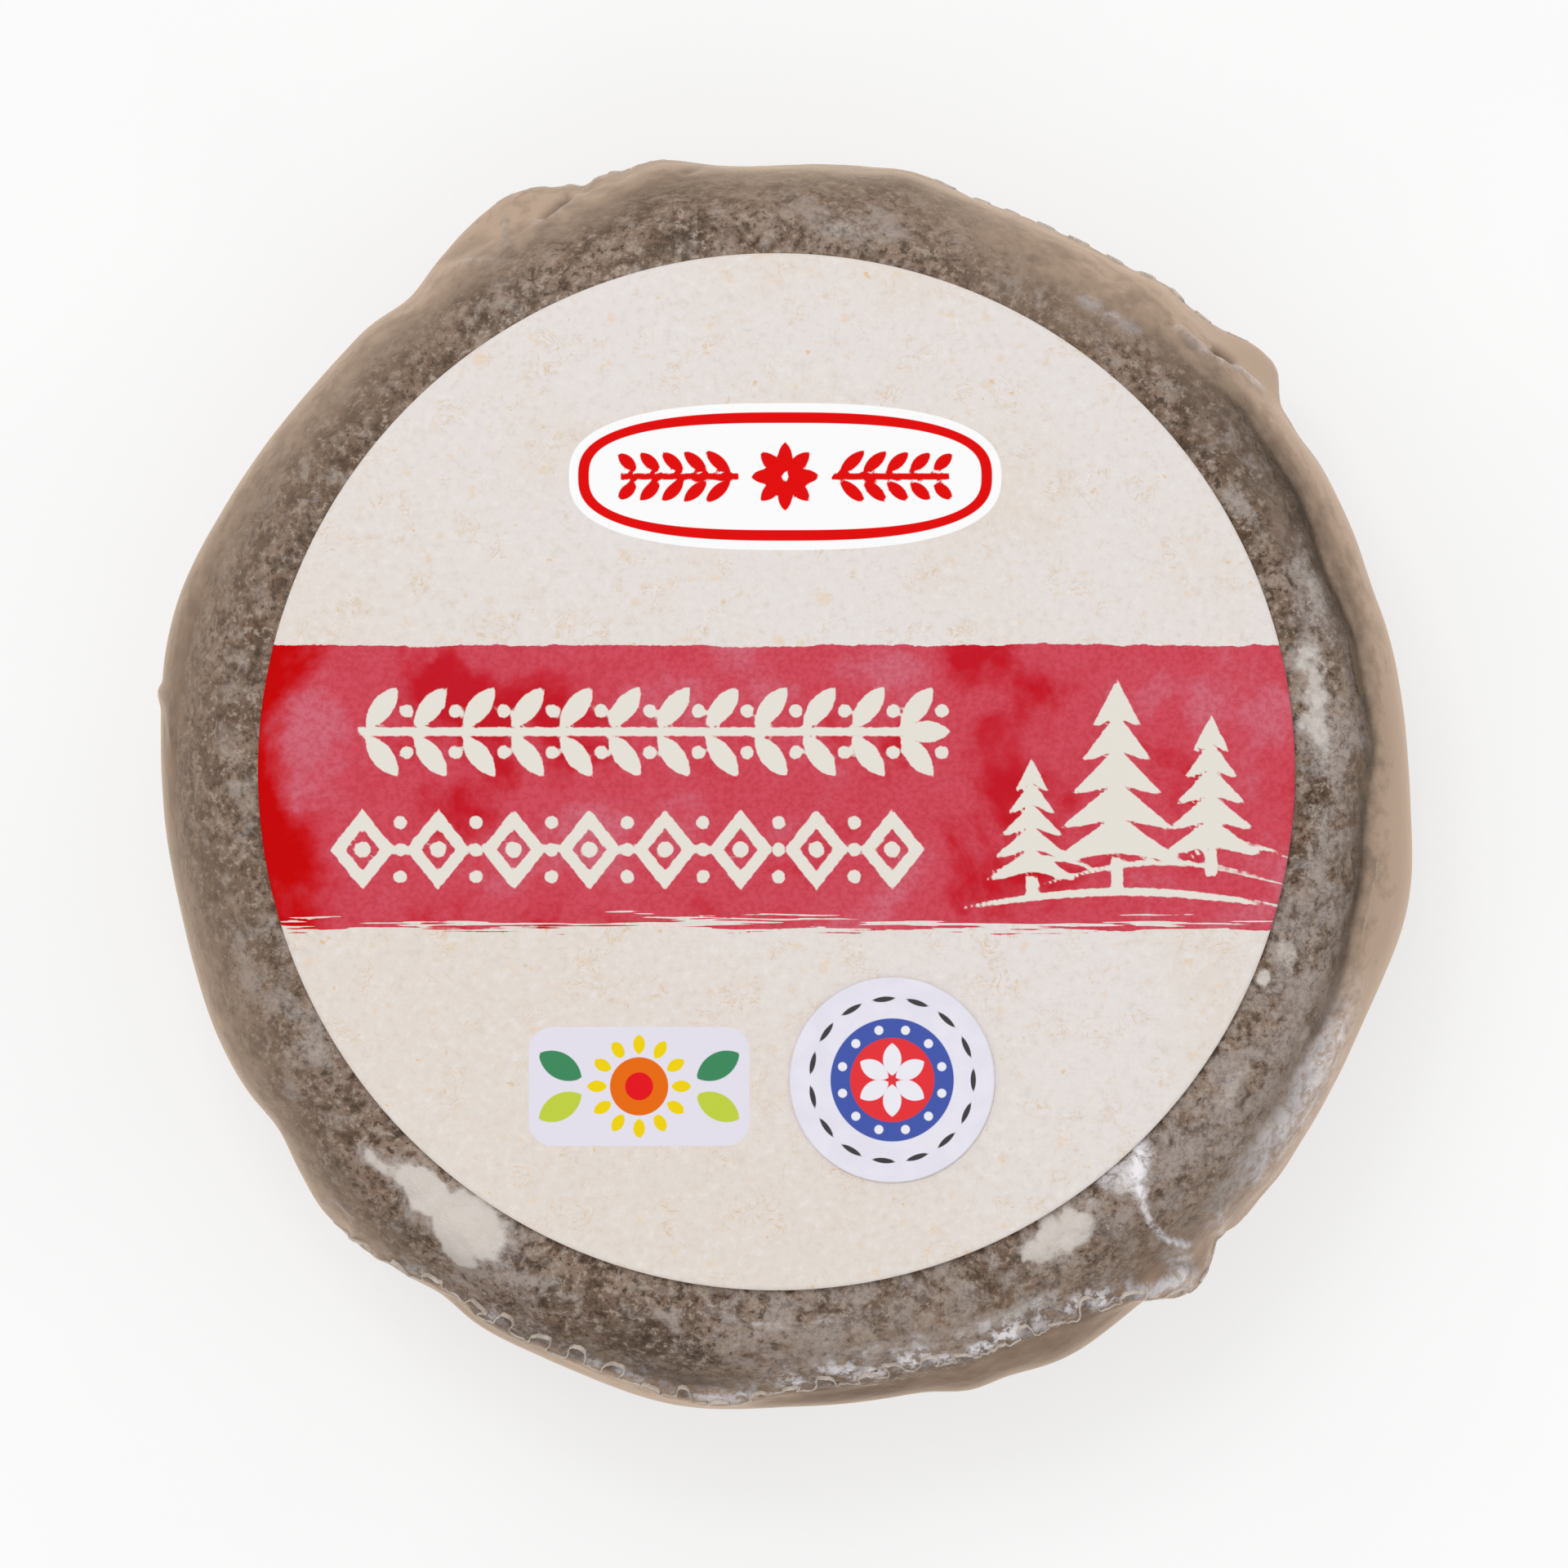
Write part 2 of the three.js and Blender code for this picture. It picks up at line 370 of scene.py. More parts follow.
# The print on the label, in millimetres from the label's middle
PLAQUE = {"middle": (0.8, 27.3), "half_width": 20, "half_height": 6.8}
PANEL = {"middle": (-12.7, -29.1), "half_width": 10.2, "half_height": 5.5, "corner": 2.2}
BAND_LOW = -14.8
BAND_HIGH = 11.7
BRANCH = {"left": -38.7, "right": 15.3, "middle_y": 3.7, "height": 9.6}
LOZENGES = {"left": -41.3, "right": 17.8, "middle_y": -7.2, "height": 7.5}

# Fir trees: the place of the foot and the height
TREES = [((31.5, -10.6), 19), ((40.2, -9.4), 14.5), ((23.6, -11.4), 12.5)]

# Hill lines under the trees: left end, right end, height of the ends, rise in the middle, thickness
HILL_LINES = [
    (17, 47.5, -12.6, 1.5, 0.75),
    (24, 47.5, -10.6, 2.2, 0.5),
    (20, 30, -9.2, 1.2, 0.4),
    (38, 47.5, -8.0, 1.3, 0.45),
]

# Inks of the small panel and of the sticker
PANEL_INKS = {
    "panel_green": (66, 140, 96),
    "panel_lime": (196, 212, 70),
    "panel_yellow": (243, 214, 18),
    "panel_orange": (236, 110, 20),
    "panel_red": (232, 24, 34),
}
STICKER_INKS = {
    "sticker_blue": (52, 78, 170),
    "sticker_red": (232, 22, 34),
    "sticker_white": (240, 238, 246),
    "sticker_dark": (48, 42, 46),
}

# Fineness of the printed sheets: rings, and points in a ring
LABEL_GRID = (116, 720)
STICKER_GRID = (60, 360)

# The camera and the light, in metres and watts, with the sensor in millimetres and the strength of
# the room's even light, and how far the floor reaches and how much it glows
VIEW_DISTANCE = 1.0
FRAME_WIDTH = 0.148
CAMERA_LEFT = -0.00036
CAMERA_DOWN = -0.00018
SENSOR = 36.0
DAYLIGHT = 0.76
KEY_PLACE = (-0.22, 0.44, 1.2)
KEY_SIZE = 0.45
KEY_POWER = 3.55
FLOOR_REACH = 3.0
FLOOR_GLOW = 0.62

# Fineness of the round meshes: points in a ring, millimetres between rings above a rise and below
# it, and the rings of the flat top and foot as shares of their reach
SEGMENTS = 864
FINE_STEP = 0.44
COARSE_STEP = 1.3
FINE_ABOVE = -32
TOP_RINGS = (0.03, 0.2, 0.4, 0.6, 0.78, 0.9, 0.97)
FOOT_RINGS = (0.95, 0.85, 0.7, 0.5, 0.3, 0.03)


# Shape helpers


def between(angle, other):
    """The turn from one angle to another the short way round."""
    return (angle - other + 180) % 360 - 180


def bumps(angle, rows):
    total = np.zeros_like(angle, dtype=float)
    for at, out, width in rows:
        total = total + out * np.exp(-((between(angle, at) / width) ** 2))
    return total


def smooth(value, low, high):
    """0 below low, 1 above high, and a smooth step between them."""
    share = np.clip((value - low) / (high - low), 0, 1)
    return share * share * (3 - 2 * share)


def seam_rise(angle):
    """Rise of the seam at each angle, eased from each point of its route to the next."""
    at = np.array([row[0] for row in SEAM_ROUTE] + [360 + SEAM_ROUTE[0][0]], float)
    rise = np.array([row[1] for row in SEAM_ROUTE] + [SEAM_ROUTE[0][1]], float)
    here = np.asarray(angle) % 360
    after = np.searchsorted(at, here, side="right")
    share = (here - at[after - 1]) / (at[after] - at[after - 1])
    return rise[after - 1] + (rise[after] - rise[after - 1]) * share * share * (3 - 2 * share)


def weld(angle):
    """1 where the film is welded, 0 along its fold."""
    here = np.asarray(angle) % 360
    start = smooth(here, FOLD_FROM - FOLD_FADE, FOLD_FROM)
    return 1 - start * (1 - smooth(here, FOLD_TO, FOLD_TO + FOLD_FADE))


def round_table(angle, rows, column):
    """A value of a table that runs round the side, at each angle."""
    at = [row[0] for row in rows] + [360 + rows[0][0]]
    value = [row[column] for row in rows] + [rows[0][column]]
    return np.interp((np.asarray(angle) - at[0]) % 360 + at[0], at, value)


def lip_size(angle):
    return round_table(angle, LIP_SIZE, 1)


def seam_loops():
    """Angle and height of each loop of the seam, unevenly spaced as shrinking leaves them."""
    draw = np.random.default_rng(21)
    angle = float(FOLD_TO + LOOP_MARGIN)
    rows = []
    while angle < 360 + FOLD_FROM - LOOP_MARGIN:
        height = LOOP_LEAST + (1 - LOOP_LEAST) * draw.uniform(0, 1) ** 1.5
        crowded = angle < LOOPS_CROWD_TO or angle > LOOPS_CROWD_FROM
        rows.append((angle, max(height, CROWDED_LEAST) if crowded else height))
        angle += draw.uniform(*CROWDED_GAPS) if crowded else draw.uniform(*LOOP_GAPS)
    return np.array(rows)


def seam_frame(angle):
    """Points of the seam with its outward and upward directions over the film."""
    outline = film_outline(angle)
    rise = seam_rise(angle)
    spot = side_points(angle, rise, outline, 0.0, True)
    ahead = side_points(angle + 0.1, seam_rise(angle + 0.1), film_outline(angle + 0.1), 0.0, True)
    upward = side_points(angle, rise + 0.4, outline, 0.0, True) - spot
    out = np.cross(ahead - spot, upward)
    out = out / np.linalg.norm(out, axis=1, keepdims=True)
    side = np.cross(out, ahead - spot)
    return spot, out, side / np.linalg.norm(side, axis=1, keepdims=True)


def plateau(x, y):
    """Height of the flat part of the top."""
    wave = 2 * np.pi / TOP_WAVE_LENGTH
    domed = HEIGHT - DOME * (x * x + y * y) / FILM_RADIUS**2
    return domed + TOP_WAVE_OUT * np.sin(wave * x + 1) * np.cos(wave * 0.8 * y - 0.6)


def film_outline(angle):
    return FILM_RADIUS + bumps(angle, OUTLINE_BUMPS)


def bridge(angle):
    """1 where the film spans from the cheese's top edge to its side without touching it."""
    return np.exp(-((between(angle, BRIDGE_MIDDLE) / BRIDGE_WIDTH) ** 4))


def bridge_edge(angle):
    """How far out the cheese's uneven top edge lies, where the film spans from it."""
    return BRIDGE_EDGE + 0.35 * np.sin(np.radians(13 * angle)) + 0.2 * np.sin(np.radians(29 * angle))


def cheese_outline(angle):
    radius = np.full_like(angle, CHEESE_RADIUS, dtype=float)
    for waves, out, phase in CHEESE_WAVES:
        radius = radius + out * np.sin(np.radians(waves * angle + phase))
    radius = radius - BRIDGE_AIR * bridge(angle)
    return np.minimum(radius, film_outline(angle) - FILM_AIR)


def side_points(angle, rise, outline, air=0.0, ears=False):
    """Points of a side that rounds from the top's edge to the foot's, air inside the film."""
    up = np.abs(np.sin(np.radians(rise)))
    out = np.maximum(np.cos(np.radians(rise)), 0)
    above = rise > 0
    power = np.where(above, 2 / TOP_ROUNDNESS, 2 / FOOT_ROUNDNESS)
    inner = np.where(above, SHOULDER, FOOT_RADIUS)
    radius = inner + (outline - inner) * out**power
    if ears:
        from_seam = rise - seam_rise(angle)
        near_seam = np.exp(-((from_seam / EAR_HEIGHT) ** 2))
        radius = radius + (bumps(angle, EARS) + bumps(angle, TIPS)) * near_seam
        swell = SEAM_SWELL * weld(angle) * np.exp(-((from_seam / SWELL_HEIGHT) ** 2))
        radius = radius + swell
    x = radius * np.cos(np.radians(angle))
    y = radius * np.sin(np.radians(angle))
    half = np.where(above, plateau(x, y) - air - WAIST, air - WAIST)
    return np.stack(np.broadcast_arrays(x, y, WAIST + half * up**power), -1)


def top_height(x, y):
    """Height of the film at a place on its top, as far out as the label reaches."""
    angle = np.degrees(np.arctan2(y, x)) % 360
    share = np.maximum(0, np.hypot(x, y) - SHOULDER) / (film_outline(angle) - SHOULDER)
    level = (1 - share**TOP_ROUNDNESS) ** (1 / TOP_ROUNDNESS)
    return WAIST + (plateau(x, y) - WAIST) * level


def even_rises():
    """Rises from the top's edge to the foot's, evenly spaced where the camera looks closest."""
    dense = np.linspace(90, -90, 3001)
    points = side_points(np.zeros(1), dense, FILM_RADIUS)
    steps = np.linalg.norm(np.diff(points, axis=0), axis=1)
    wanted = np.where(dense[1:] > FINE_ABOVE, FINE_STEP, COARSE_STEP)
    count = np.concatenate([[0], np.cumsum(steps / wanted)])
    return np.interp(np.linspace(0, count[-1], int(count[-1]) + 1), count, dense)


def ring_angles():
    """The angle of each point of a ring."""
    return np.arange(SEGMENTS) * 360 / SEGMENTS


def wheel_rings(outline, air, ears):
    """Rings of points from near the top's middle, round the side, to near the foot's middle."""
    angle = ring_angles()
    turn = np.radians(angle)
    rings = []
    for share in TOP_RINGS:
        x, y = SHOULDER * share * np.cos(turn), SHOULDER * share * np.sin(turn)
        rings.append(np.stack([x, y, plateau(x, y) - air], -1))
    for rise in even_rises():
        rings.append(side_points(angle, np.full_like(angle, rise), outline, air, ears))
    for share in FOOT_RINGS:
        x, y = FOOT_RADIUS * share * np.cos(turn), FOOT_RADIUS * share * np.sin(turn)
        rings.append(np.stack([x, y, np.full_like(x, air)], -1))
    return np.array(rings)


def outward(rings):
    """Unit normals of a closed grid of rings."""
    along = np.roll(rings, -1, 1) - np.roll(rings, 1, 1)
    down = np.gradient(rings, axis=0)
    normal = np.cross(down, along)
    return normal / np.maximum(np.linalg.norm(normal, axis=-1, keepdims=True), 1e-9)


def lumps(points, size, octaves=3, seed=0):
    """Smooth noise of about -1 to 1 at each point, with lumps about size across."""
    shift = Vector((17.3, 5.1, 9.7)) * seed
    flat = points.reshape(-1, 3) / size
    values = [noise.fractal(Vector(p) + shift, 1.0, 2.0, octaves) for p in flat]
    return np.array(values).reshape(points.shape[:-1])


def distance_to_path(x, y, path):
    """Distance in plan from each place to a broken line."""
    nearest = np.full(x.shape, np.inf)
    for (ax, ay), (bx, by) in zip(path, path[1:]):
        dx, dy = bx - ax, by - ay
        along = np.clip(((x - ax) * dx + (y - ay) * dy) / (dx * dx + dy * dy), 0, 1)
        nearest = np.minimum(nearest, np.hypot(x - ax - along * dx, y - ay - along * dy))
    return nearest


def rim_patches(points, rows, ragged):
    """The strength of soft ragged patches set along the rim, given by angle and radius."""
    angle = np.degrees(np.arctan2(points[..., 1], points[..., 0]))
    reach = np.hypot(points[..., 0], points[..., 1])
    below = np.clip(HEIGHT - 3 - points[..., 2], 0, None)
    radius = np.where(below > 0, reach + 0.6 * below, reach)
    total = np.zeros(points.shape[:-1])
    for at, middle, length, width, strength in rows:
        along = np.radians(between(angle, at)) * middle / length
        across = (radius - middle) / width
        edge = 1 - np.hypot(along, across) + ragged / max(strength, 1) ** 2
        total = np.maximum(total, strength * smooth(edge, -0.35, 0.7))
    return total


# Mesh helpers


def shift_to_frame(points):
    """Moves points from the form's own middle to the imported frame, in metres."""
    low, high = (np.array(corner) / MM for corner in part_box(LABEL))
    offset = (low + high)[:2] / 2 - np.array(LABEL_MIDDLE)
    moved = np.array(points, float)
    moved[:, :2] += offset
    return moved * MM


def new_object(name, data):
    """Makes an object of a mesh, a camera or a light, and puts it in the scene."""
    made = bpy.data.objects.new(name, data)
    bpy.context.scene.collection.objects.link(made)
    return made


def set_values(mesh, values):
    """Gives a mesh named numbers at its points."""
    for key, numbers in values.items():
        attribute = mesh.attributes.new(key, "FLOAT", "POINT")
        attribute.data.foreach_set("value", np.asarray(numbers, np.float32))


def new_piece(name, points, faces, material, values, node):
    """Makes a mesh piece with named values at its points, and ties it to the frame."""
    mesh = bpy.data.meshes.new(name)
    mesh.from_pydata(shift_to_frame(points).tolist(), [], faces)
    set_values(mesh, values)
    mesh.shade_smooth()
    mesh.materials.append(material)
    piece = new_object(name, mesh)
    tie(piece, node)
    return piece


def tie(piece, node):
    """Ties a piece to the body and hides the solid that it replaces."""
    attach(piece, BODY)
    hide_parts(node)


def ring_faces(ring_count, segments):
    """Faces of a closed body of rings, with its top's middle first and its foot's middle last."""
    upper = np.arange(ring_count - 1)[:, None] * segments + 1
    here = np.arange(segments)[None, :]
    after = (here + 1) % segments
    quads = np.stack(
        [upper + segments + here, upper + segments + after, upper + after, upper + here], -1
    )
    faces = quads.reshape(-1, 4).tolist()
    last = (ring_count - 1) * segments + 1
    foot = ring_count * segments + 1
    for j in range(segments):
        k = (j + 1) % segments
        faces.append([0, 1 + j, 1 + k])
        faces.append([foot, last + k, last + j])
    return faces


def close_rings(rings):
    """All points of a ringed body: the top's middle, the rings, the foot's middle."""
    return np.concatenate([[rings[0].mean(0)], rings.reshape(-1, 3), [rings[-1].mean(0)]])


def close_values(grid):
    """A value for each point that close_rings gives."""
    return np.concatenate([[grid[0].mean()], grid.reshape(-1), [grid[-1].mean()]])


# Node helpers


def linear(colour):
    """A colour from 0 to 255 as it looks, as the light that shaders count in."""
    share = np.array(colour, float) / 255
    light = np.where(share <= 0.04045, share / 12.92, ((share + 0.055) / 1.055) ** 2.4)
    return (*light.tolist(), 1.0)


def add(tree, kind, inputs=None, **settings):
    """Adds a node, sets it up, and fills or wires its inputs."""
    node = tree.nodes.new(kind)
    for name, value in settings.items():
        setattr(node, name, value)
    for key, value in (inputs or {}).items():
        if isinstance(value, bpy.types.NodeSocket):
            tree.links.new(value, node.inputs[key])
        else:
            node.inputs[key].default_value = value
    return node


def maths(tree, operation, *values, clamp=False):
    inputs = dict(enumerate(values))
    return add(tree, "ShaderNodeMath", inputs, operation=operation, use_clamp=clamp).outputs[0]


def plus(tree, first, second, clamp=False):
    return maths(tree, "ADD", first, second, clamp=clamp)


def minus(tree, first, second, clamp=False):
    return maths(tree, "SUBTRACT", first, second, clamp=clamp)


def times(tree, first, second, clamp=False):
    return maths(tree, "MULTIPLY", first, second, clamp=clamp)


def added(tree, first, second):
    """The sum of two vectors."""
    return add(tree, "ShaderNodeVectorMath", {0: first, 1: second}, operation="ADD").outputs[0]


def scaled(tree, vector, amount):
    inputs = {0: vector, "Scale": amount}
    return add(tree, "ShaderNodeVectorMath", inputs, operation="SCALE").outputs[0]


def spread(tree, value, low, high, to_low=0.0, to_high=1.0):
    """Maps low..high to to_low..to_high smoothly, held at both ends."""
    inputs = {0: value, 1: low, 2: high, 3: to_low, 4: to_high}
    kind = "ShaderNodeMapRange"
    return add(tree, kind, inputs, interpolation_type="SMOOTHSTEP", clamp=True).outputs[0]


def blend(tree, share, first, second, mode="MIX"):
    """Mixes two colours. Each is a socket or a colour from 0 to 255."""
    first, second = (
        c if isinstance(c, bpy.types.NodeSocket) else linear(c) for c in (first, second)
    )
    inputs = {0: share, 6: first, 7: second}
    node = add(tree, "ShaderNodeMix", inputs, data_type="RGBA", blend_type=mode)
    return node.outputs[2]


def grain(tree, place, size, detail=3.0, roughness=0.55, bend=0.0, stretch=None):
    """Noise from 0 to 1 with lumps about size millimetres across."""
    if stretch:
        place = add(tree, "ShaderNodeMapping", {0: place, "Scale": stretch}).outputs[0]
    inputs = {
        "Vector": place,
        "Scale": 1 / (size * MM),
        "Detail": detail,
        "Roughness": roughness,
        "Distortion": bend,
    }
    return add(tree, "ShaderNodeTexNoise", inputs).outputs[0]


def value_of(tree, name):
    return add(tree, "ShaderNodeAttribute", attribute_name=name).outputs["Fac"]


def new_material(name):
    material = bpy.data.materials.new(name)
    material.use_nodes = True
    tree = material.node_tree
    tree.nodes.clear()
    output = add(tree, "ShaderNodeOutputMaterial")
    place = add(tree, "ShaderNodeTexCoord").outputs["Object"]
    return material, tree, output, place


def bumped(tree, height, depth, strength=1.0):
    """A bump from a height of 0 to 1 that stands for depth millimetres."""
    inputs = {"Strength": strength, "Distance": depth * MM, "Height": height}
    return add(tree, "ShaderNodeBump", inputs).outputs[0]


# Materials


def rind_material():
    """Dry brushed rind: grey-brown, with fine pale wisps and mould on it, painted shade in its pits, in
    the hollows of its fine grain and along the crevice at its top edge, and painted highlight on the
    tops of its fine grain.
    """
    material, tree, output, place = new_material("dry_rind")
    broad = grain(tree, place, 8, 3)
    middle = grain(tree, place, 2.4, 6, 0.66)
    fine = grain(tree, place, 0.8, 5, 0.7)
    colour = blend(tree, spread(tree, broad, 0.4, 0.6), (137, 115, 100), (172, 151, 138))
    rusty = spread(tree, grain(tree, place, 3.4, 5, 0.65), 0.53, 0.62, 0, 0.5)
    colour = blend(tree, rusty, colour, (142, 110, 85))
    colour = blend(tree, spread(tree, middle, 0.5, 0.62, 0, 0.68), colour, (192, 180, 171))
    colour = blend(tree, spread(tree, middle, 0.5, 0.39, 0, 0.68), colour, (90, 73, 61))
    relief = value_of(tree, "relief")
    # Painted shade in the pits, where the relief is low
    pits = spread(tree, plus(tree, relief, fine), -0.5, 0.35, 0.7, 0.0)
    colour = blend(tree, pits, colour, (76, 61, 51))
    calm = times(tree, value_of(tree, "calm"), 0.7)
    damp = times(tree, value_of(tree, "damp"), 0.62)
    colour = blend(tree, damp, colour, (86, 70, 58))
    # Dark and pale specks of the fine grain, which also raises the bump: partly the rind's own speckle,
    # partly painted shade in the hollows and painted highlight on the tops
    colour = blend(tree, spread(tree, fine, 0.47, 0.39, 0.0, 0.88), colour, (70, 56, 47))
    colour = blend(tree, spread(tree, fine, 0.54, 0.62, 0.0, 0.8), colour, (212, 201, 194))
    colour = blend(tree, calm, colour, (134, 119, 109))
    mould = value_of(tree, "mould")
    curly = grain(tree, place, 1.2, 5, 0.65, 0.7)
    line = maths(tree, "ABSOLUTE", minus(tree, curly, 0.5))
    thin = spread(tree, line, 0.0, 0.04, 1.0, 0.0)
    wisps = times(tree, thin, spread(tree, fine, 0.4, 0.58))
    patchy = spread(tree, plus(tree, grain(tree, place, 4.5, 3), mould), 0.46, 0.75)
    wisps = times(tree, wisps, times(tree, patchy, 0.75))
    colour = blend(tree, wisps, colour, (196, 189, 184))
    patch = times(tree, grain(tree, place, 3.0, 5, 0.62, 0.4), 4.0)
    bloom = spread(tree, plus(tree, mould, patch), 2.15, 2.95)
    fuzz = spread(tree, grain(tree, place, 0.55, 4, 0.75, 0.5), 0.36, 0.62, 0.3, 1.0)
    bloom = times(tree, bloom, fuzz)
    colour = blend(tree, times(tree, bloom, 0.9), colour, (207, 202, 204))
    white = plus(tree, mould, times(tree, fine, 0.5))
    colour = blend(tree, spread(tree, white, 0.98, 1.4), colour, (252, 253, 255))
    # Painted shade along the crevice where the film leaves the cheese's top edge
    shade = times(tree, value_of(tree, "crevice_shade"), 0.8)
    colour = blend(tree, shade, colour, (52, 42, 36))
    height = plus(tree, times(tree, middle, 0.6), times(tree, fine, 0.5))
    inputs = {"Base Color": colour, "Roughness": 0.92, "Normal": bumped(tree, height, 0.5)}
    inputs["Specular IOR Level"] = 0.2
    shader = add(tree, "ShaderNodeBsdfPrincipled", inputs)
    tree.links.new(shader.outputs[0], output.inputs[0])
    return material


def film_material():
    """Clear shrink film: almost all of it lets light through, and it is milky where it is thick."""
    material, tree, output, place = new_material("shrink_film")
    cloud = spread(tree, grain(tree, place, 2.2, 4, 0.6), 0.3, 0.7, 0.75, 1.2)
    haze = times(tree, value_of(tree, "haze"), cloud)
    tufts = spread(tree, grain(tree, place, 0.9, 4, 0.7), 0.38, 0.58, 0.15, 1.3)
    tufts = times(tree, value_of(tree, "tufts"), tufts, clamp=True)
    streaks = spread(tree, grain(tree, place, 1.4, 6, 0.76, 0.6), 0.38, 0.58, 0.4, 1.15)
    frost_and_highlight = times(tree, value_of(tree, "frost_and_highlight"), streaks)
    frost_and_highlight = maths(tree, "MAXIMUM", frost_and_highlight, tufts)
    shade = value_of(tree, "shade")
    amount = maths(tree, "MAXIMUM", maths(tree, "MAXIMUM", haze, frost_and_highlight), shade, clamp=True)
    # Frosted film and weld whiten the milk; along the creases this whitening is partly a painted
    # highlight
    whiter = spread(tree, frost_and_highlight, 0.0, 0.45)
    colour = blend(tree, whiter, (188, 163, 142), (246, 241, 244))
    # Painted shade in the seam's pockets, along dark creases and holes, and just past the cheese's
    # bridged edge
    colour = blend(tree, shade, colour, (50, 38, 32))
    ripple = grain(tree, place, 1.4, 3, 0.5)
    normal = bumped(tree, ripple, 0.12, 0.6)
    milk = add(tree, "ShaderNodeBsdfDiffuse", {"Color": colour, "Normal": normal}).outputs[0]
    clear = add(tree, "ShaderNodeBsdfTransparent", {"Color": linear((254, 251, 247))}).outputs[0]
    body = add(tree, "ShaderNodeMixShader", {0: amount, 1: clear, 2: milk}).outputs[0]
    gloss_inputs = {"Color": linear((228, 208, 189)), "Roughness": 0.16, "Normal": normal}
    gloss = add(tree, "ShaderNodeBsdfAnisotropic", gloss_inputs).outputs[0]
    fresnel = add(tree, "ShaderNodeFresnel", {"IOR": 1.27, "Normal": normal}).outputs[0]
    skin = add(tree, "ShaderNodeMixShader", {0: fresnel, 1: body, 2: gloss}).outputs[0]
    tree.links.new(skin, output.inputs[0])
    return material


def lip_material():
    """The welded lip: two layers of film, milky and glossy."""
    material, tree, output, place = new_material("welded_lip")
    cloud = spread(tree, grain(tree, place, 1.2, 4, 0.6), 0.35, 0.65, 0.4, 0.85)
    normal = bumped(tree, grain(tree, place, 0.7, 3), 0.15)
    milk_inputs = {"Base Color": linear((218, 207, 197)), "Roughness": 0.22, "Normal": normal}
    milk = add(tree, "ShaderNodeBsdfPrincipled", milk_inputs).outputs[0]
    clear = add(tree, "ShaderNodeBsdfTransparent", {"Color": linear((250, 246, 240))}).outputs[0]
    skin = add(tree, "ShaderNodeMixShader", {0: cloud, 1: clear, 2: milk}).outputs[0]
    tree.links.new(skin, output.inputs[0])
    return material


def inked(tree, colour, distance, ink, wobble=None, edge=0.05):
    """Prints a flat shape, given by the distance to its edge in millimetres, over a colour."""
    if wobble is not None:
        distance = plus(tree, distance, wobble)
    return blend(tree, spread(tree, distance, -edge, edge, 1.0, 0.0), colour, ink)


def paper_colour(tree, place):
    """Cream paper, cloudy and warmer to the left, with ochre wisps, pale fibres and a few flecks."""
    apart = add(tree, "ShaderNodeSeparateXYZ", {0: place})
    lean = plus(tree, apart.outputs[0], apart.outputs[1])
    lean = spread(tree, lean, -0.055, 0.02, 0.6, 0.0)
    cloud = spread(tree, grain(tree, place, 22, 4, 0.6), 0.42, 0.68, 0.0, 0.55)
    yellow = maths(tree, "MAXIMUM", lean, cloud)
    colour = blend(tree, yellow, (233, 226, 223), (229, 217, 204))
    tooth = grain(tree, place, 0.8, 5, 0.7)
    colour = blend(tree, spread(tree, tooth, 0.5, 0.72, 0.0, 0.6), colour, (241, 236, 233))
    colour = blend(tree, spread(tree, tooth, 0.5, 0.28, 0.0, 0.6), colour, (219, 207, 196))
    curly = grain(tree, place, 2.2, 4, 0.62, 1.8)
    line = maths(tree, "ABSOLUTE", minus(tree, curly, 0.5))
    fibres = spread(tree, line, 0.0, 0.02, 1, 0)
    sparse = spread(tree, grain(tree, place, 4.2, 3), 0.52, 0.62)
    strength = times(tree, times(tree, fibres, sparse), 0.8)
    colour = blend(tree, strength, colour, (222, 190, 152))
    stain = spread(tree, grain(tree, place, 2.0, 4, 0.65), 0.6, 0.7, 0.0, 0.6)
    colour = blend(tree, stain, colour, (235, 210, 182))
    fleck = spread(tree, grain(tree, place, 1.1, 2, 0.5), 0.72, 0.78, 0.0, 0.7)
    return blend(tree, fleck, colour, (227, 190, 134))


def watercolour(tree, place):
    """Red wash with pools of deep red and pale bloom, and the grain of the paper in it."""
    pools = grain(tree, place, 12, 5, 0.58, 0.25)
    colour = blend(tree, spread(tree, pools, 0.36, 0.5), (200, 20, 36), (211, 78, 94))
    colour = blend(tree, spread(tree, pools, 0.53, 0.68, 0, 0.75), colour, (212, 116, 134))
    tooth = spread(tree, grain(tree, place, 0.5, 4, 0.65), 0.4, 0.62, 0.0, 0.35)
    colour = blend(tree, tooth, colour, (188, 34, 50))
    sweep = plus(tree, value_of(tree, "print_x"), times(tree, pools, 22))
    return blend(tree, spread(tree, sweep, -35, -29, 1, 0), colour, (200, 0, 2))


def brushed_band(tree, place):
    """Distance to the edge of the red band, with dry streaks of the brush along its lower edge."""
    height = value_of(tree, "print_y")
    waver = times(tree, minus(tree, grain(tree, place, 5, 5, 0.6), 0.5), 1.2)
    streak = grain(tree, place, 0.42, 2, 0.5, 0, (0.035, 1.0, 1.0))
    streak = times(tree, minus(tree, streak, 0.56), 5.5)
    above = minus(tree, minus(tree, height, BAND_HIGH), waver)
    below = plus(tree, minus(tree, BAND_LOW, height), waver)
    below = maths(tree, "MAXIMUM", below, plus(tree, plus(tree, below, 0.9), streak))
    line = maths(tree, "ABSOLUTE", plus(tree, below, 0.12))
    line = minus(tree, line, spread(tree, streak, -0.6, 0.8, 0.22, 0.0))
    return maths(tree, "MAXIMUM", above, maths(tree, "MINIMUM", below, line))


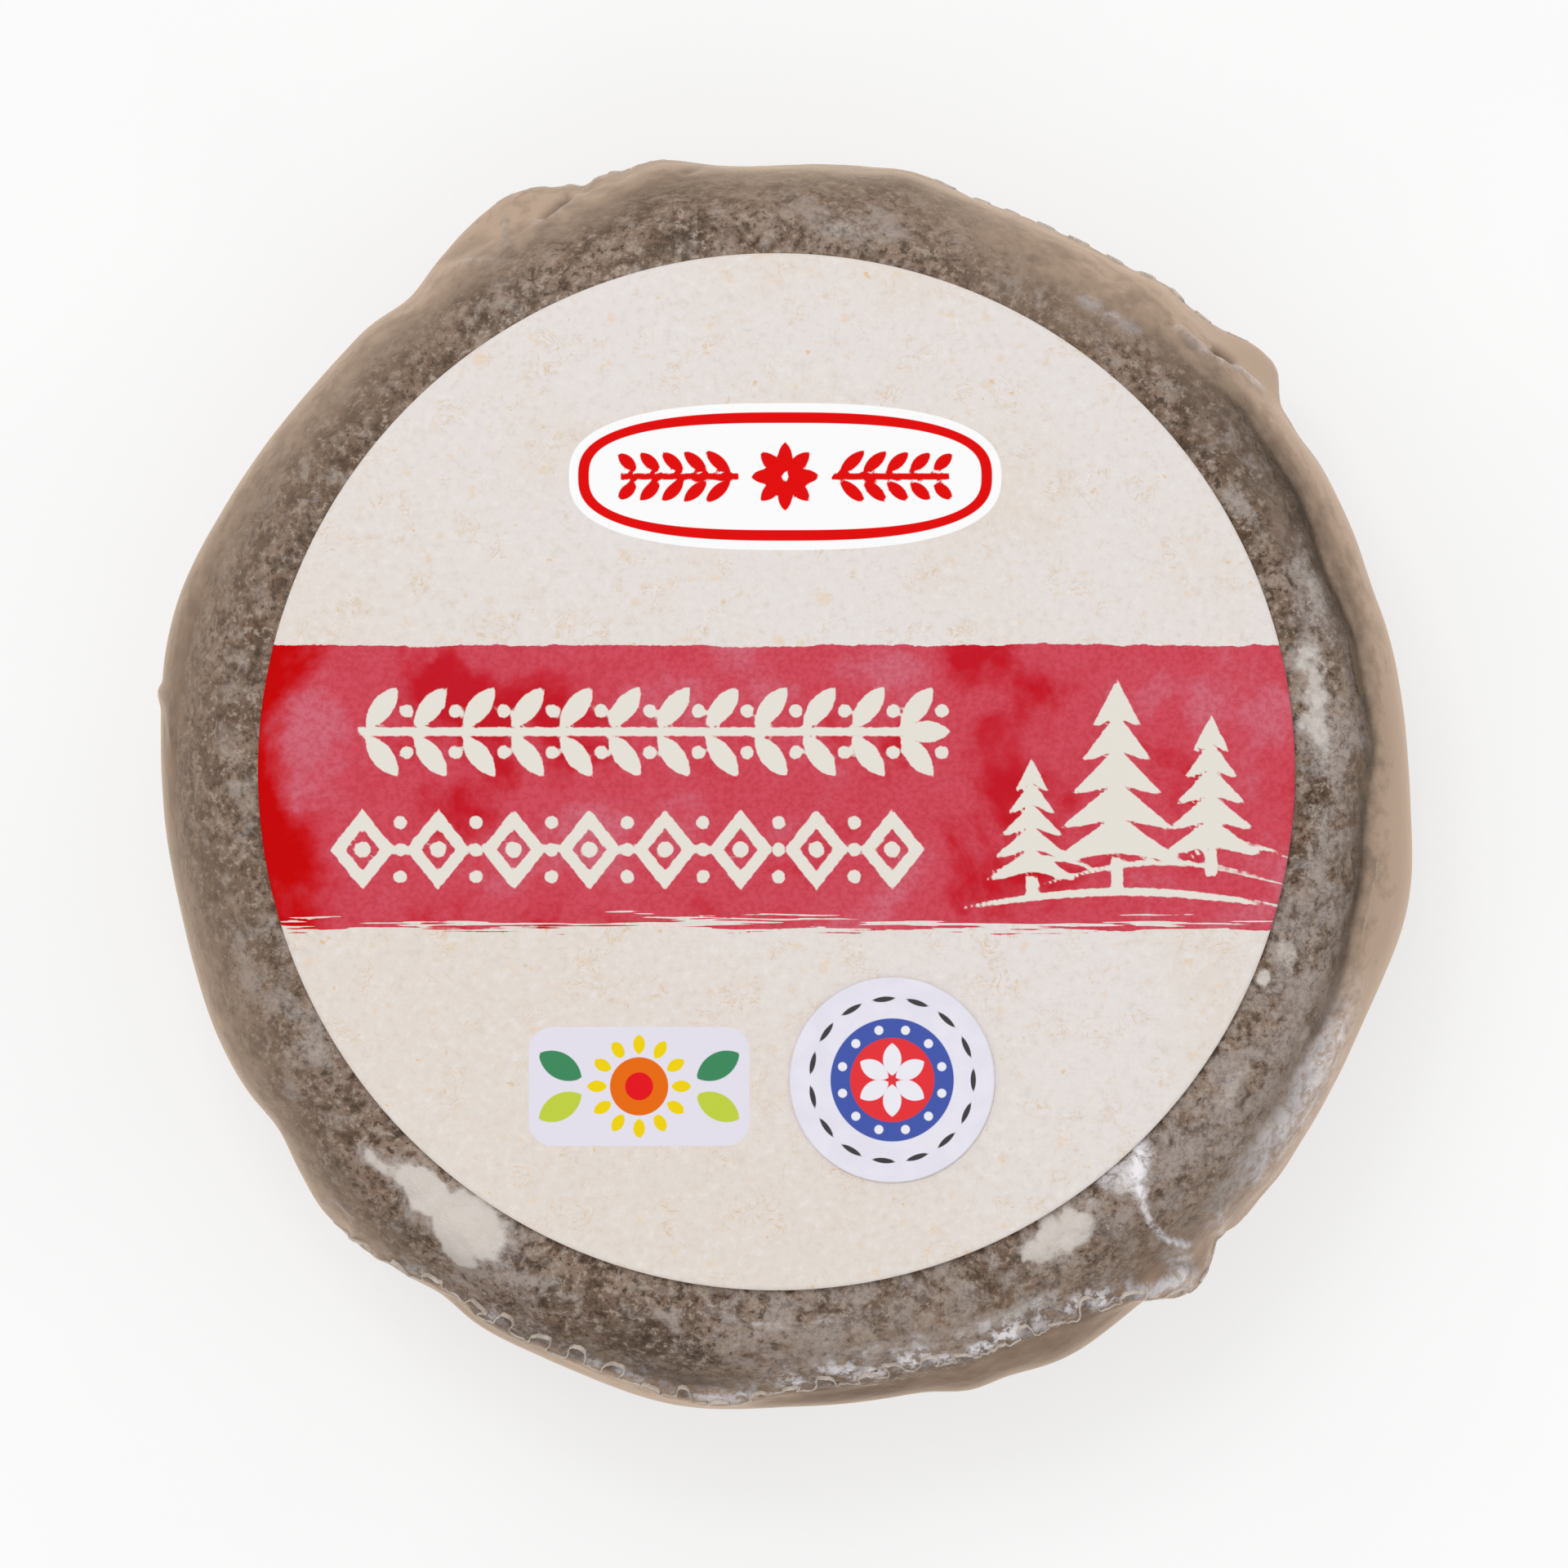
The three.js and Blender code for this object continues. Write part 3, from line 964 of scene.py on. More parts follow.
def label_material():
    """The label's paper and its print."""
    material, tree, output, place = new_material("printed_paper")
    paper = paper_colour(tree, place)
    rough_edge = times(tree, minus(tree, grain(tree, place, 0.7, 3), 0.5), 0.3)
    colour = inked(tree, paper, brushed_band(tree, place), watercolour(tree, place), rough_edge)
    colour = inked(tree, colour, value_of(tree, "cream"), (234, 229, 219), rough_edge, 0.07)
    colour = inked(tree, colour, value_of(tree, "plaque"), (255, 255, 255))
    colour = inked(tree, colour, value_of(tree, "plaque_red"), (229, 10, 8))
    colour = inked(tree, colour, value_of(tree, "panel"), (232, 228, 240))
    for name, ink in PANEL_INKS.items():
        colour = inked(tree, colour, value_of(tree, name), ink)
    tooth = grain(tree, place, 0.35, 4, 0.6)
    inputs = {"Base Color": colour, "Roughness": 0.82, "Normal": bumped(tree, tooth, 0.02, 0.5)}
    inputs["Specular IOR Level"] = 0.08
    shader = add(tree, "ShaderNodeBsdfPrincipled", inputs)
    tree.links.new(shader.outputs[0], output.inputs[0])
    return material


def sticker_material():
    """The sticker's smooth white paper and its print."""
    material, tree, output, place = new_material("sticker_paper")
    cloud = spread(tree, grain(tree, place, 2.5, 3), 0.35, 0.65, 0, 1)
    colour = blend(tree, cloud, (231, 228, 240), (236, 233, 244))
    for name, ink in STICKER_INKS.items():
        colour = inked(tree, colour, value_of(tree, name), ink)
    tooth = grain(tree, place, 0.4, 3)
    inputs = {"Base Color": colour, "Roughness": 0.6, "Normal": bumped(tree, tooth, 0.01, 0.4)}
    shader = add(tree, "ShaderNodeBsdfPrincipled", inputs)
    tree.links.new(shader.outputs[0], output.inputs[0])
    return material


def floor_material():
    material, tree, output, place = new_material("pale_floor")
    shade = spread(tree, grain(tree, place, 60, 2), 0.3, 0.7, 0, 1)
    colour = blend(tree, shade, (253, 253, 253), (255, 255, 255))
    lit = add(tree, "ShaderNodeBsdfDiffuse", {"Color": colour}).outputs[0]
    glow = add(tree, "ShaderNodeEmission", {"Color": colour, "Strength": 1.0}).outputs[0]
    even = add(tree, "ShaderNodeMixShader", {0: FLOOR_GLOW, 1: lit, 2: glow}).outputs[0]
    tree.links.new(even, output.inputs[0])
    return material


# Flat shapes of the print, as distances to their edges: negative inside


def disc(x, y, middle, radius):
    return np.hypot(x - middle[0], y - middle[1]) - radius


def turned(x, y, middle, degrees):
    """Places seen from a middle, turned so that a shape drawn upright leans by degrees."""
    c, s = np.cos(np.radians(degrees)), np.sin(np.radians(degrees))
    dx, dy = x - middle[0], y - middle[1]
    return dx * c + dy * s, dy * c - dx * s


def leaf(x, y, middle, degrees, length, width):
    """A pointed leaf, lying along its angle: where two equal discs overlap."""
    u, v = turned(x, y, middle, degrees)
    radius = (length**2 + width**2) / (4 * width)
    return np.hypot(u, np.abs(v) + radius - width / 2) - radius


def lozenge(x, y, middle, half_width, half_height):
    u, v = np.abs(x - middle[0]), np.abs(y - middle[1])
    slant = np.hypot(half_width, half_height)
    return (u * half_height + v * half_width - half_width * half_height) / slant


def rounded_box(x, y, middle, half_width, half_height, corner):
    u = np.abs(x - middle[0]) - half_width + corner
    v = np.abs(y - middle[1]) - half_height + corner
    return np.hypot(np.maximum(u, 0), np.maximum(v, 0)) + np.minimum(np.maximum(u, v), 0) - corner


def outline_of(distance, inset, width):
    """A line of some width that runs inside a shape's edge."""
    return np.abs(distance + inset) - width / 2


def union(*shapes):
    return np.minimum.reduce(shapes)


def branch(x, y, left, right, middle_y, height):
    """A branch with pairs of leaves and a berry between each pair."""
    step = 4.5
    stem = np.abs(y - middle_y) - 0.4
    shapes = [np.maximum(stem, np.maximum(left - x, x - right + 2.0))]
    slant = 52
    reach = height * 0.27
    for at in np.arange(left + 0.6, right - 3, step):
        for side in (-1, 1):
            tip = (at + reach * np.cos(np.radians(slant)), middle_y + side * reach * 0.86)
            shapes.append(leaf(x, y, tip, side * slant, height * 0.5, 2.0))
            shapes.append(disc(x, y, (at + 3.9, middle_y + side * height * 0.2), 0.62))
    shapes.append(leaf(x, y, (right - 1.4, middle_y), 0, 4.4, 2.0))
    return union(*shapes)


def lozenge_row(x, y, left, right, middle_y, height):
    """A row of open lozenges with three dots between each two."""
    step = 7.0
    shapes = []
    for at in np.arange(left + 3, right - 2, step):
        whole = lozenge(x, y, (at, middle_y), height * 0.4, height / 2)
        shapes.append(outline_of(whole, 0.55, 1.1))
        shapes.append(disc(x, y, (at, middle_y), 0.75))
    for at in np.arange(left + 3 + step / 2, right - 4, step):
        for lift in (-2.5, 0, 2.5):
            shapes.append(disc(x, y, (at, middle_y + lift), 0.62))
    return union(*shapes)


def fir_tree(x, y, foot, height):
    """A stepped fir tree, with a gap between its tiers and a short trunk."""
    shapes = [rounded_box(x, y, (foot[0], foot[1] + height * 0.06), 0.55, height * 0.08, 0.1)]
    tiers = 5
    for tier in range(tiers):
        low = foot[1] + height * (0.14 + 0.165 * tier)
        half = height * (0.3 - 0.048 * tier)
        rise = height * 0.21
        across = np.abs(x - foot[0])
        slope = (across * rise + (y - low) * half - half * rise) / np.hypot(half, rise)
        sag = low + 0.35 * np.cos(np.clip(across / half, 0, 1) * np.pi)
        shapes.append(np.maximum(slope, sag - y))
    return union(*shapes)


def slope_lines(x, y):
    """Brushed hill lines under the trees."""
    shapes = []
    for left, right, low, lift, width in HILL_LINES:
        share = np.clip((x - left) / (right - left), 0, 1)
        line = low + lift * np.sin(np.pi * share)
        thick = width * np.sin(np.pi * np.clip(share, 0.02, 0.98)) ** 0.5
        ends = np.maximum(left - x, x - right)
        shapes.append(np.maximum(np.abs(y - line) - thick / 2, ends))
    return union(*shapes)


def plaque_shapes(x, y):
    """A white oval cartouche with a red line round it, a rosette and two sprigs."""
    (mx, my), half_w, half_h = PLAQUE["middle"], PLAQUE["half_width"], PLAQUE["half_height"]
    power = 2.6
    level = (np.abs((x - mx) / half_w) ** power + np.abs((y - my) / half_h) ** power) ** (1 / power)
    gx = np.abs(x - mx) ** (power - 1) / half_w**power
    gy = np.abs(y - my) ** (power - 1) / half_h**power
    slope = np.maximum(np.hypot(gx, gy) * np.maximum(level, 1e-3) ** (1 - power), 1 / half_w)
    plaque = (level - 1) / slope
    red = [outline_of(plaque, 1.35, 1.0)]
    for petal in range(8):
        lean = petal * 45
        out = (mx + 1.75 * np.cos(np.radians(lean)), my + 1.75 * np.sin(np.radians(lean)))
        red.append(leaf(x, y, out, lean, 2.9, 1.35))
    for side in (-1, 1):
        along = np.abs(y - my) - 0.3
        span = np.maximum(4.3 - side * (x - mx), side * (x - mx) - 15.2)
        red.append(np.maximum(along, span))
        for step in range(5):
            at = mx + side * (6.2 + 2.1 * step)
            size = 3.2 - 0.22 * step
            for lift in (-1, 1):
                middle = (at, my + lift * 1.35)
                red.append(leaf(x, y, middle, side * lift * 42, size, 1.15))
    return plaque, union(*red)


def panel_shapes(x, y):
    """A small panel with a sun between sprigs of leaves."""
    (mx, my) = PANEL["middle"]
    panel = rounded_box(x, y, **PANEL)
    sun = disc(x, y, (mx, my), 2.7)
    rays = [
        leaf(x, y, (mx + 3.9 * np.cos(a), my + 3.9 * np.sin(a)), np.degrees(a), 1.9, 1.1)
        for a in np.radians(np.arange(0, 360, 30))
    ]
    green, lime = [], []
    for side in (-1, 1):
        green.append(leaf(x, y, (mx + side * 7.3, my + 1.9), side * 30, 4.6, 2.4))
        lime.append(leaf(x, y, (mx + side * 7.3, my - 1.9), -side * 30, 4.6, 2.4))
    return {
        "panel": panel,
        "panel_green": union(*green),
        "panel_lime": union(*lime),
        "panel_yellow": union(*rays),
        "panel_orange": sun,
        "panel_red": disc(x, y, (mx, my), 1.3),
    }


def label_print(x, y):
    """Every printed shape of the label, in its own frame."""
    plaque, plaque_red = plaque_shapes(x, y)
    trees = [fir_tree(x, y, foot, height) for foot, height in TREES]
    cream = [branch(x, y, **BRANCH), lozenge_row(x, y, **LOZENGES)]
    shapes = {
        "cream": union(*cream, *trees, slope_lines(x, y)),
        "plaque": plaque,
        "plaque_red": plaque_red,
        "print_x": x,
        "print_y": y,
    }
    shapes.update(panel_shapes(x, y))
    return shapes


def sticker_print(x, y):
    """Every printed shape of the sticker: a blue field with a white flower and red seeds."""
    field = disc(x, y, (0, 0), 5.7)
    petals = [
        leaf(x, y, (1.9 * np.cos(a), 1.9 * np.sin(a)), np.degrees(a), 3.0, 1.7)
        for a in np.radians(np.arange(90, 450, 60))
    ]
    seeds = [
        disc(x, y, (4.75 * np.cos(a), 4.75 * np.sin(a)), 0.42)
        for a in np.radians(np.arange(105, 465, 30))
    ]
    dashes = [
        leaf(x, y, (7.5 * np.cos(a), 7.5 * np.sin(a)), np.degrees(a) + 90, 2.3, 0.5)
        for a in np.radians(np.arange(0, 360, 24))
    ]
    return {
        "sticker_blue": np.minimum(field, disc(x, y, (0, 0), 0.9)),
        "sticker_red": disc(x, y, (0, 0), 3.9),
        "sticker_white": union(*petals, *seeds),
        "sticker_dark": union(*dashes),
    }


# Pieces


def make_cheese():
    """The bare wheel: its rind has lumps, pits and fine cracks, and mould grows on it."""
    angle = ring_angles()
    rings = wheel_rings(cheese_outline(angle), FILM_AIR, False)
    broad = lumps(rings, 7, 2, 1)
    knobs = lumps(rings, 2.2, 3, 2)
    crust = lumps(rings, 0.9, 2, 3)
    cracks = np.clip(1 - np.abs(lumps(rings, 3.4, 2, 4)) * 9, 0, 1)
    cracks = cracks * np.clip(lumps(rings, 8, 1, 5) * 2 + 0.5, 0, 1)
    relief = 0.5 * knobs + 0.6 * crust - 0.7 * cracks
    displacement = SWELL_DEPTH * broad + CRUST_DEPTH * np.clip(relief, -1.5, 0.8)
    mould = rim_patches(rings, MOULD, 0.5 * lumps(rings, 2.2, 4, 6))
    damp = rim_patches(rings, DAMP, 0.75 * lumps(rings, 2.6, 4, 7))
    calm = rim_patches(rings, CALM, 0.4 * lumps(rings, 3.0, 4, 8))
    displacement = np.minimum(displacement + MOULD_DEPTH * mould, CRUST_LIMIT)
    rings = rings + outward(rings) * displacement[..., None]
    reach = np.hypot(rings[..., 0], rings[..., 1])
    # Painted shade along the crevice where the film leaves the cheese's top edge
    crevice_shade = np.exp(-(((reach - bridge_edge(angle)) / 0.4) ** 2)) * bridge(angle)
    crevice_shade = crevice_shade * (rings[..., 2] > WAIST)
    values = {
        "relief": close_values(relief * 1.4),
        "mould": close_values(mould),
        "damp": close_values(damp),
        "calm": close_values(calm),
        "crevice_shade": close_values(crevice_shade),
    }
    faces = ring_faces(len(rings), SEGMENTS)
    return new_piece("cheese", close_rings(rings), faces, rind_material(), values, WHEEL)


def film_values(rings, angle):
    """How milky and frosted the film is at each point, with the frosting of its creases partly a
    painted highlight, how much painted shade it has, and how far it is creased.
    """
    x, y, z = rings[..., 0], rings[..., 1], rings[..., 2]
    reach = np.hypot(x, y)
    outline = film_outline(angle)
    depth = np.where(z < WAIST, 0.0, np.maximum(outline - reach, 0.0))
    wavered = angle + HAZE_WAVER * lumps(rings, 8, 3, 14)
    amount = round_table(wavered, MILKY, 1)
    inward = round_table(wavered, MILKY, 2)
    haze = FILM_VEIL + EDGE_MILK * np.exp(-depth) + amount * np.exp(-((depth / inward) ** 2))
    at, width, less, reached = CLEAR_EDGE
    haze = haze - less * np.exp(-((between(wavered, at) / width) ** 2) - (depth / reached) ** 2)

    # Where the film spans from the cheese's top edge, it is milky past that edge, dips at it, and
    # carries painted shade just past it
    edge = bridge_edge(angle)
    haze = haze + SPAN_MILK * smooth(reach, edge, edge + 0.6) * bridge(angle)
    on_top = bridge(angle) * (z > WAIST)
    crease = -0.3 * np.exp(-(((reach - edge) / 0.7) ** 2)) * on_top
    shade = 0.16 * np.exp(-(((reach - edge - 0.6) / 1.2) ** 2)) * on_top

    # The side has one haze, except where the film stands off in a shrunk corner
    bunched = smooth(reach - outline, 0.3, 1.2) * smooth(z, WAIST - 4, WAIST + 1)
    lower = smooth(WAIST + 9 - z, 0, 10) * (1 - bunched)
    haze = haze * (1 - lower) + SIDE_HAZE * lower

    high = smooth(z, WAIST - 3, WAIST + 7)
    at, width, inner, half, frosted = FROSTED_RIM
    frost_and_highlight = frosted * np.exp(-((between(wavered, at) / width) ** 2)) * high
    frost_and_highlight = frost_and_highlight * np.exp(-(((depth - inner) / half) ** 2))
    for path, out, width, frosted, shaded in CREASES:
        profile = np.exp(-((distance_to_path(x, y, path) / width) ** 2)) * high
        crease = crease + out * profile
        frost_and_highlight = np.maximum(frost_and_highlight, frosted * profile)
        shade = np.maximum(shade, shaded * profile)
    return haze, frost_and_highlight, shade, crease


def make_film():
    """The film: taut over the top, pleated by its shrinking near the seam, and creased at its ears."""
    angle = ring_angles()
    rings = wheel_rings(film_outline(angle), 0.0, True)
    haze, frost_and_highlight, shade, crease = film_values(rings, angle)
    seam = seam_frame(angle)[0]
    from_seam = np.linalg.norm(rings - seam, axis=-1)
    near = np.exp(-((from_seam / PLEATS_REACH) ** 2)) * lip_size(angle)
    pleat_place = rings * np.array([1.0, 1.0, 0.3])
    pleats = lumps(pleat_place, 1.6, 2, 11)
    slack = lumps(rings, 6, 2, 12)
    displacement = crease + PLEAT_DEPTH * pleats * near + SLACK_DEPTH * slack

    # The flat top and the foot stay taut
    side_only = smooth(np.hypot(rings[..., 0], rings[..., 1]), 46, 50) * smooth(rings[..., 2], 0.5, 4)
    rings = rings + outward(rings) * (displacement * side_only)[..., None]

    # Painted shade darkens the pocket in each loop of the seam, and a milky band of weld lies beside it
    for at, height in seam_loops():
        spot, _, upward = seam_frame(np.array([at]))
        pocket = spot + 0.4 * LOOP_DEPTH * height * lip_size(at) * upward
        distance = np.linalg.norm(rings - pocket, axis=-1)
        dark = min(0.9, 1.1 * height * lip_size(at))
        shade = np.maximum(shade, dark * np.exp(-((distance / POCKET_SIZE) ** 2)))
    inward = np.hypot(seam[..., 0], seam[..., 1]) - np.hypot(rings[..., 0], rings[..., 1])
    share = np.minimum(lip_size(angle), 1.0)
    weld_band = np.exp(-((from_seam / WELD_REACH) ** 2)) * smooth(inward, -0.5, 0.7) * share
    band_cloud = np.clip(0.55 + 0.9 * lumps(rings, 1.8, 3, 13), 0, 1)
    whiter = 0.5 + 0.5 * smooth(angle, *FRONT_STARTS) * (1 - smooth(angle, *FRONT_ENDS))
    tufts = 0.8 * weld_band * band_cloud * whiter
    values = {
        "haze": close_values(haze),
        "frost_and_highlight": close_values(frost_and_highlight),
        "tufts": close_values(tufts),
        "shade": close_values(shade),
    }
    faces = ring_faces(len(rings), SEGMENTS)
    points = close_rings(rings)
    return new_piece("shrink_film", points, faces, film_material(), values, WHEEL)


def round_sheet(name, middle, radius, thickness, base, rings, segments, print_of, material, slot, node):
    """A thin round printed sheet that lies on a height, with its print as values at its points."""
    turn = np.arange(segments) * 2 * np.pi / segments
    shares = np.linspace(1 / rings, 1, rings)
    soft_edge = radius - np.array([0.05, 0.0])
    over = np.concatenate([shares[:-1] * radius, soft_edge])
    under = np.array([soft_edge[0], radius * 0.6, radius * 0.05])
    radii = np.concatenate([over, under])
    lift = np.concatenate([np.full(len(over) - 1, thickness), [thickness / 2], np.zeros(len(under))])
    x = middle[0] + radii[:, None] * np.cos(turn)
    y = middle[1] + radii[:, None] * np.sin(turn)
    grid = np.stack([x, y, base(x, y) + lift[:, None]], -1)
    shapes = print_of(x - middle[0], y - middle[1])
    hidden = np.arange(len(radii))[:, None] >= len(over)
    values = {key: close_values(np.where(hidden, 90.0, shape)) for key, shape in shapes.items()}
    faces = ring_faces(len(radii), segments)
    return new_piece(name, close_rings(grid), faces, material, values, node)


def make_label():
    low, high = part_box(LABEL)
    radius = (high[0] - low[0]) / MM / 2
    return round_sheet(
        "printed_label",
        LABEL_MIDDLE,
        radius,
        LABEL_THICKNESS,
        lambda x, y: top_height(x, y) + PAPER_GAP,
        *LABEL_GRID,
        label_print,
        label_material(),
        "label_paper",
        LABEL,
    )


def make_sticker():
    label_low, label_high = (np.array(corner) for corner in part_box(LABEL))
    low, high = (np.array(corner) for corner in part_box(STICKER))
    from_label = ((low + high) - (label_low + label_high))[:2] / 2 / MM
    middle = from_label + np.array(LABEL_MIDDLE)
    return round_sheet(
        "printed_sticker",
        middle,
        (high[0] - low[0]) / MM / 2,
        STICKER_THICKNESS,
        lambda x, y: top_height(x, y) + 2 * PAPER_GAP + LABEL_THICKNESS,
        *STICKER_GRID,
        sticker_print,
        sticker_material(),
        "sticker_paper",
        STICKER,
    )


def lip_tree(film, material):
    """Nodes that follow the seam's line with a thin lip, thrown into loops towards the middle."""
    tree = bpy.data.node_groups.new("crimped_lip", "GeometryNodeTree")
    ports = tree.interface
    ports.new_socket("Geometry", in_out="INPUT", socket_type="NodeSocketGeometry")
    for name, kind, default in (
        ("Film", "NodeSocketObject", film),
        ("Lip Width", "NodeSocketFloat", 0.38 * MM),
        ("Loop Depth", "NodeSocketFloat", LOOP_DEPTH * MM),
        ("Waver", "NodeSocketFloat", 1.6 * MM),
        ("Curl", "NodeSocketFloat", 1.0),
        ("Lean", "NodeSocketFloat", 1.1),
        ("Thickness", "NodeSocketFloat", 0.1 * MM),
        ("Steps Along", "NodeSocketInt", 4200),
        ("Steps Across", "NodeSocketInt", 4),
        ("Seed", "NodeSocketFloat", 3.0),
    ):
        ports.new_socket(name, in_out="INPUT", socket_type=kind).default_value = default
    ports.new_socket("Geometry", in_out="OUTPUT", socket_type="NodeSocketGeometry")
    given = add(tree, "NodeGroupInput").outputs
    curve = add(tree, "GeometryNodeMeshToCurve", {0: given["Geometry"]}).outputs[0]
    sizes = {"Size X": 1.0, "Size Y": 1.0}
    sizes["Vertices X"] = given["Steps Along"]
    sizes["Vertices Y"] = given["Steps Across"]
    sheet = add(tree, "GeometryNodeMeshGrid", sizes).outputs[0]
    place = add(tree, "ShaderNodeSeparateXYZ", {0: add(tree, "GeometryNodeInputPosition").outputs[0]})
    along = plus(tree, place.outputs[0], 0.5, clamp=True)
    across = plus(tree, place.outputs[1], 0.5, clamp=True)

    def sampled(name, factor, kind="FLOAT_VECTOR"):
        read = add(tree, "GeometryNodeInputNamedAttribute", {"Name": name}, data_type=kind)
        inputs = {"Curves": curve, "Value": read.outputs[0], "Factor": factor}
        settings = {"data_type": kind, "use_all_curves": True}
        return add(tree, "GeometryNodeSampleCurve", inputs, **settings).outputs

    # How far round its loop each place is, and that loop's height and length
    count = sampled("loop_count", along, "FLOAT")[0]
    height = sampled("loop_height", along, "FLOAT")[0]
    length = sampled("loop_length", along, "FLOAT")[0]
    nearest = maths(tree, "FLOOR", plus(tree, count, 0.5))
    luck_inputs = {"W": plus(tree, nearest, given["Seed"])}
    luck = add(tree, "ShaderNodeTexWhiteNoise", luck_inputs, noise_dimensions="1D").outputs["Value"]
    phase = times(tree, count, 2 * np.pi)
    apart = minus(tree, count, nearest)
    rounded = times(tree, plus(tree, maths(tree, "COSINE", phase), 1.0), 0.5)
    pinch = times(tree, maths(tree, "SINE", times(tree, phase, 2.0)), length)
    pinch = times(tree, pinch, spread(tree, luck, 0.0, 1.0, -0.05, -0.12))
    factor = times(tree, pinch, given["Curl"])
    factor = minus(tree, along, factor, clamp=True)
    out = sampled("lip_out", factor)
    side = sampled("lip_side", factor)
    size = sampled("lip_size", factor, "FLOAT")[0]
    depth = times(tree, times(tree, given["Loop Depth"], size), height)
    tight = sampled("loop_tight", along, "FLOAT")[0]
    narrow = times(tree, spread(tree, luck, 0.0, 1.0, 0.0, 0.18), tight)
    share = maths(tree, "DIVIDE", apart, minus(tree, 0.46, narrow))
    swing = times(tree, maths(tree, "MINIMUM", maths(tree, "ABSOLUTE", share), 1.0), np.pi)
    arch = times(tree, plus(tree, maths(tree, "COSINE", swing), 1.0), 0.5)
    sway = times(tree, depth, arch)
    waver_inputs = {"W": count, "Scale": 2.7, "Detail": 3.0, "Roughness": 0.6}
    waver = add(tree, "ShaderNodeTexNoise", waver_inputs, noise_dimensions="1D").outputs[0]
    waver = times(tree, minus(tree, waver, 0.5), given["Waver"])
    sway = plus(tree, sway, times(tree, waver, size))
    spot = added(tree, out[1], scaled(tree, side[0], sway))
    lean = times(tree, minus(tree, luck, 0.5), given["Lean"])
    lean = times(tree, times(tree, sway, rounded), lean)
    spot = added(tree, spot, scaled(tree, out[2], lean))
    skin = add(tree, "GeometryNodeObjectInfo", {0: given["Film"]}).outputs["Geometry"]
    touch_inputs = {0: skin, "Sample Position": spot}
    touch = add(tree, "GeometryNodeProximity", touch_inputs, target_element="FACES")
    reach = plus(tree, times(tree, rounded, 0.7), 0.55)
    lift = times(tree, given["Lip Width"], reach)
    lift = times(tree, lift, maths(tree, "MINIMUM", size, 1.0))
    lift = minus(tree, times(tree, lift, across), 0.05 * MM)
    spot = added(tree, touch.outputs["Position"], scaled(tree, out[0], lift))
    ruffle = add(tree, "GeometryNodeSetPosition", {"Geometry": sheet, "Position": spot}).outputs[0]
    inputs = {"Mesh": ruffle, "Offset Scale": given["Thickness"], "Individual": False}
    front = add(tree, "GeometryNodeExtrudeMesh", inputs, mode="FACES").outputs[0]
    back = add(tree, "GeometryNodeFlipFaces", {0: ruffle}).outputs[0]
    joined = add(tree, "GeometryNodeJoinGeometry")
    tree.links.new(front, joined.inputs[0])
    tree.links.new(back, joined.inputs[0])
    merged = add(tree, "GeometryNodeMergeByDistance", {0: joined.outputs[0], "Distance": 0.002 * MM})
    smooth_faces = add(tree, "GeometryNodeSetShadeSmooth", {0: merged.outputs[0]}).outputs[0]
    real = add(tree, "GeometryNodeRealizeInstances", {0: smooth_faces}).outputs[0]
    painted = add(tree, "GeometryNodeSetMaterial", {"Geometry": real, "Material": material})
    add(tree, "NodeGroupOutput", {0: painted.outputs[0]})
    return tree


def grown(name, source, tree):
    """The plain mesh that a tree of nodes makes from a source object, which is then removed."""
    modifier = source.modifiers.new(name, "NODES")
    modifier.node_group = tree
    for port in tree.interface.items_tree:
        if port.in_out == "INPUT" and port.socket_type != "NodeSocketGeometry":
            modifier[port.identifier] = port.default_value
    source.update_tag()
    evaluated = source.evaluated_get(bpy.context.evaluated_depsgraph_get())
    mesh = bpy.data.meshes.new_from_object(evaluated)
    mesh.name = name
    source.modifiers.remove(modifier)
    bpy.data.objects.remove(source)
    return new_object(name, mesh)


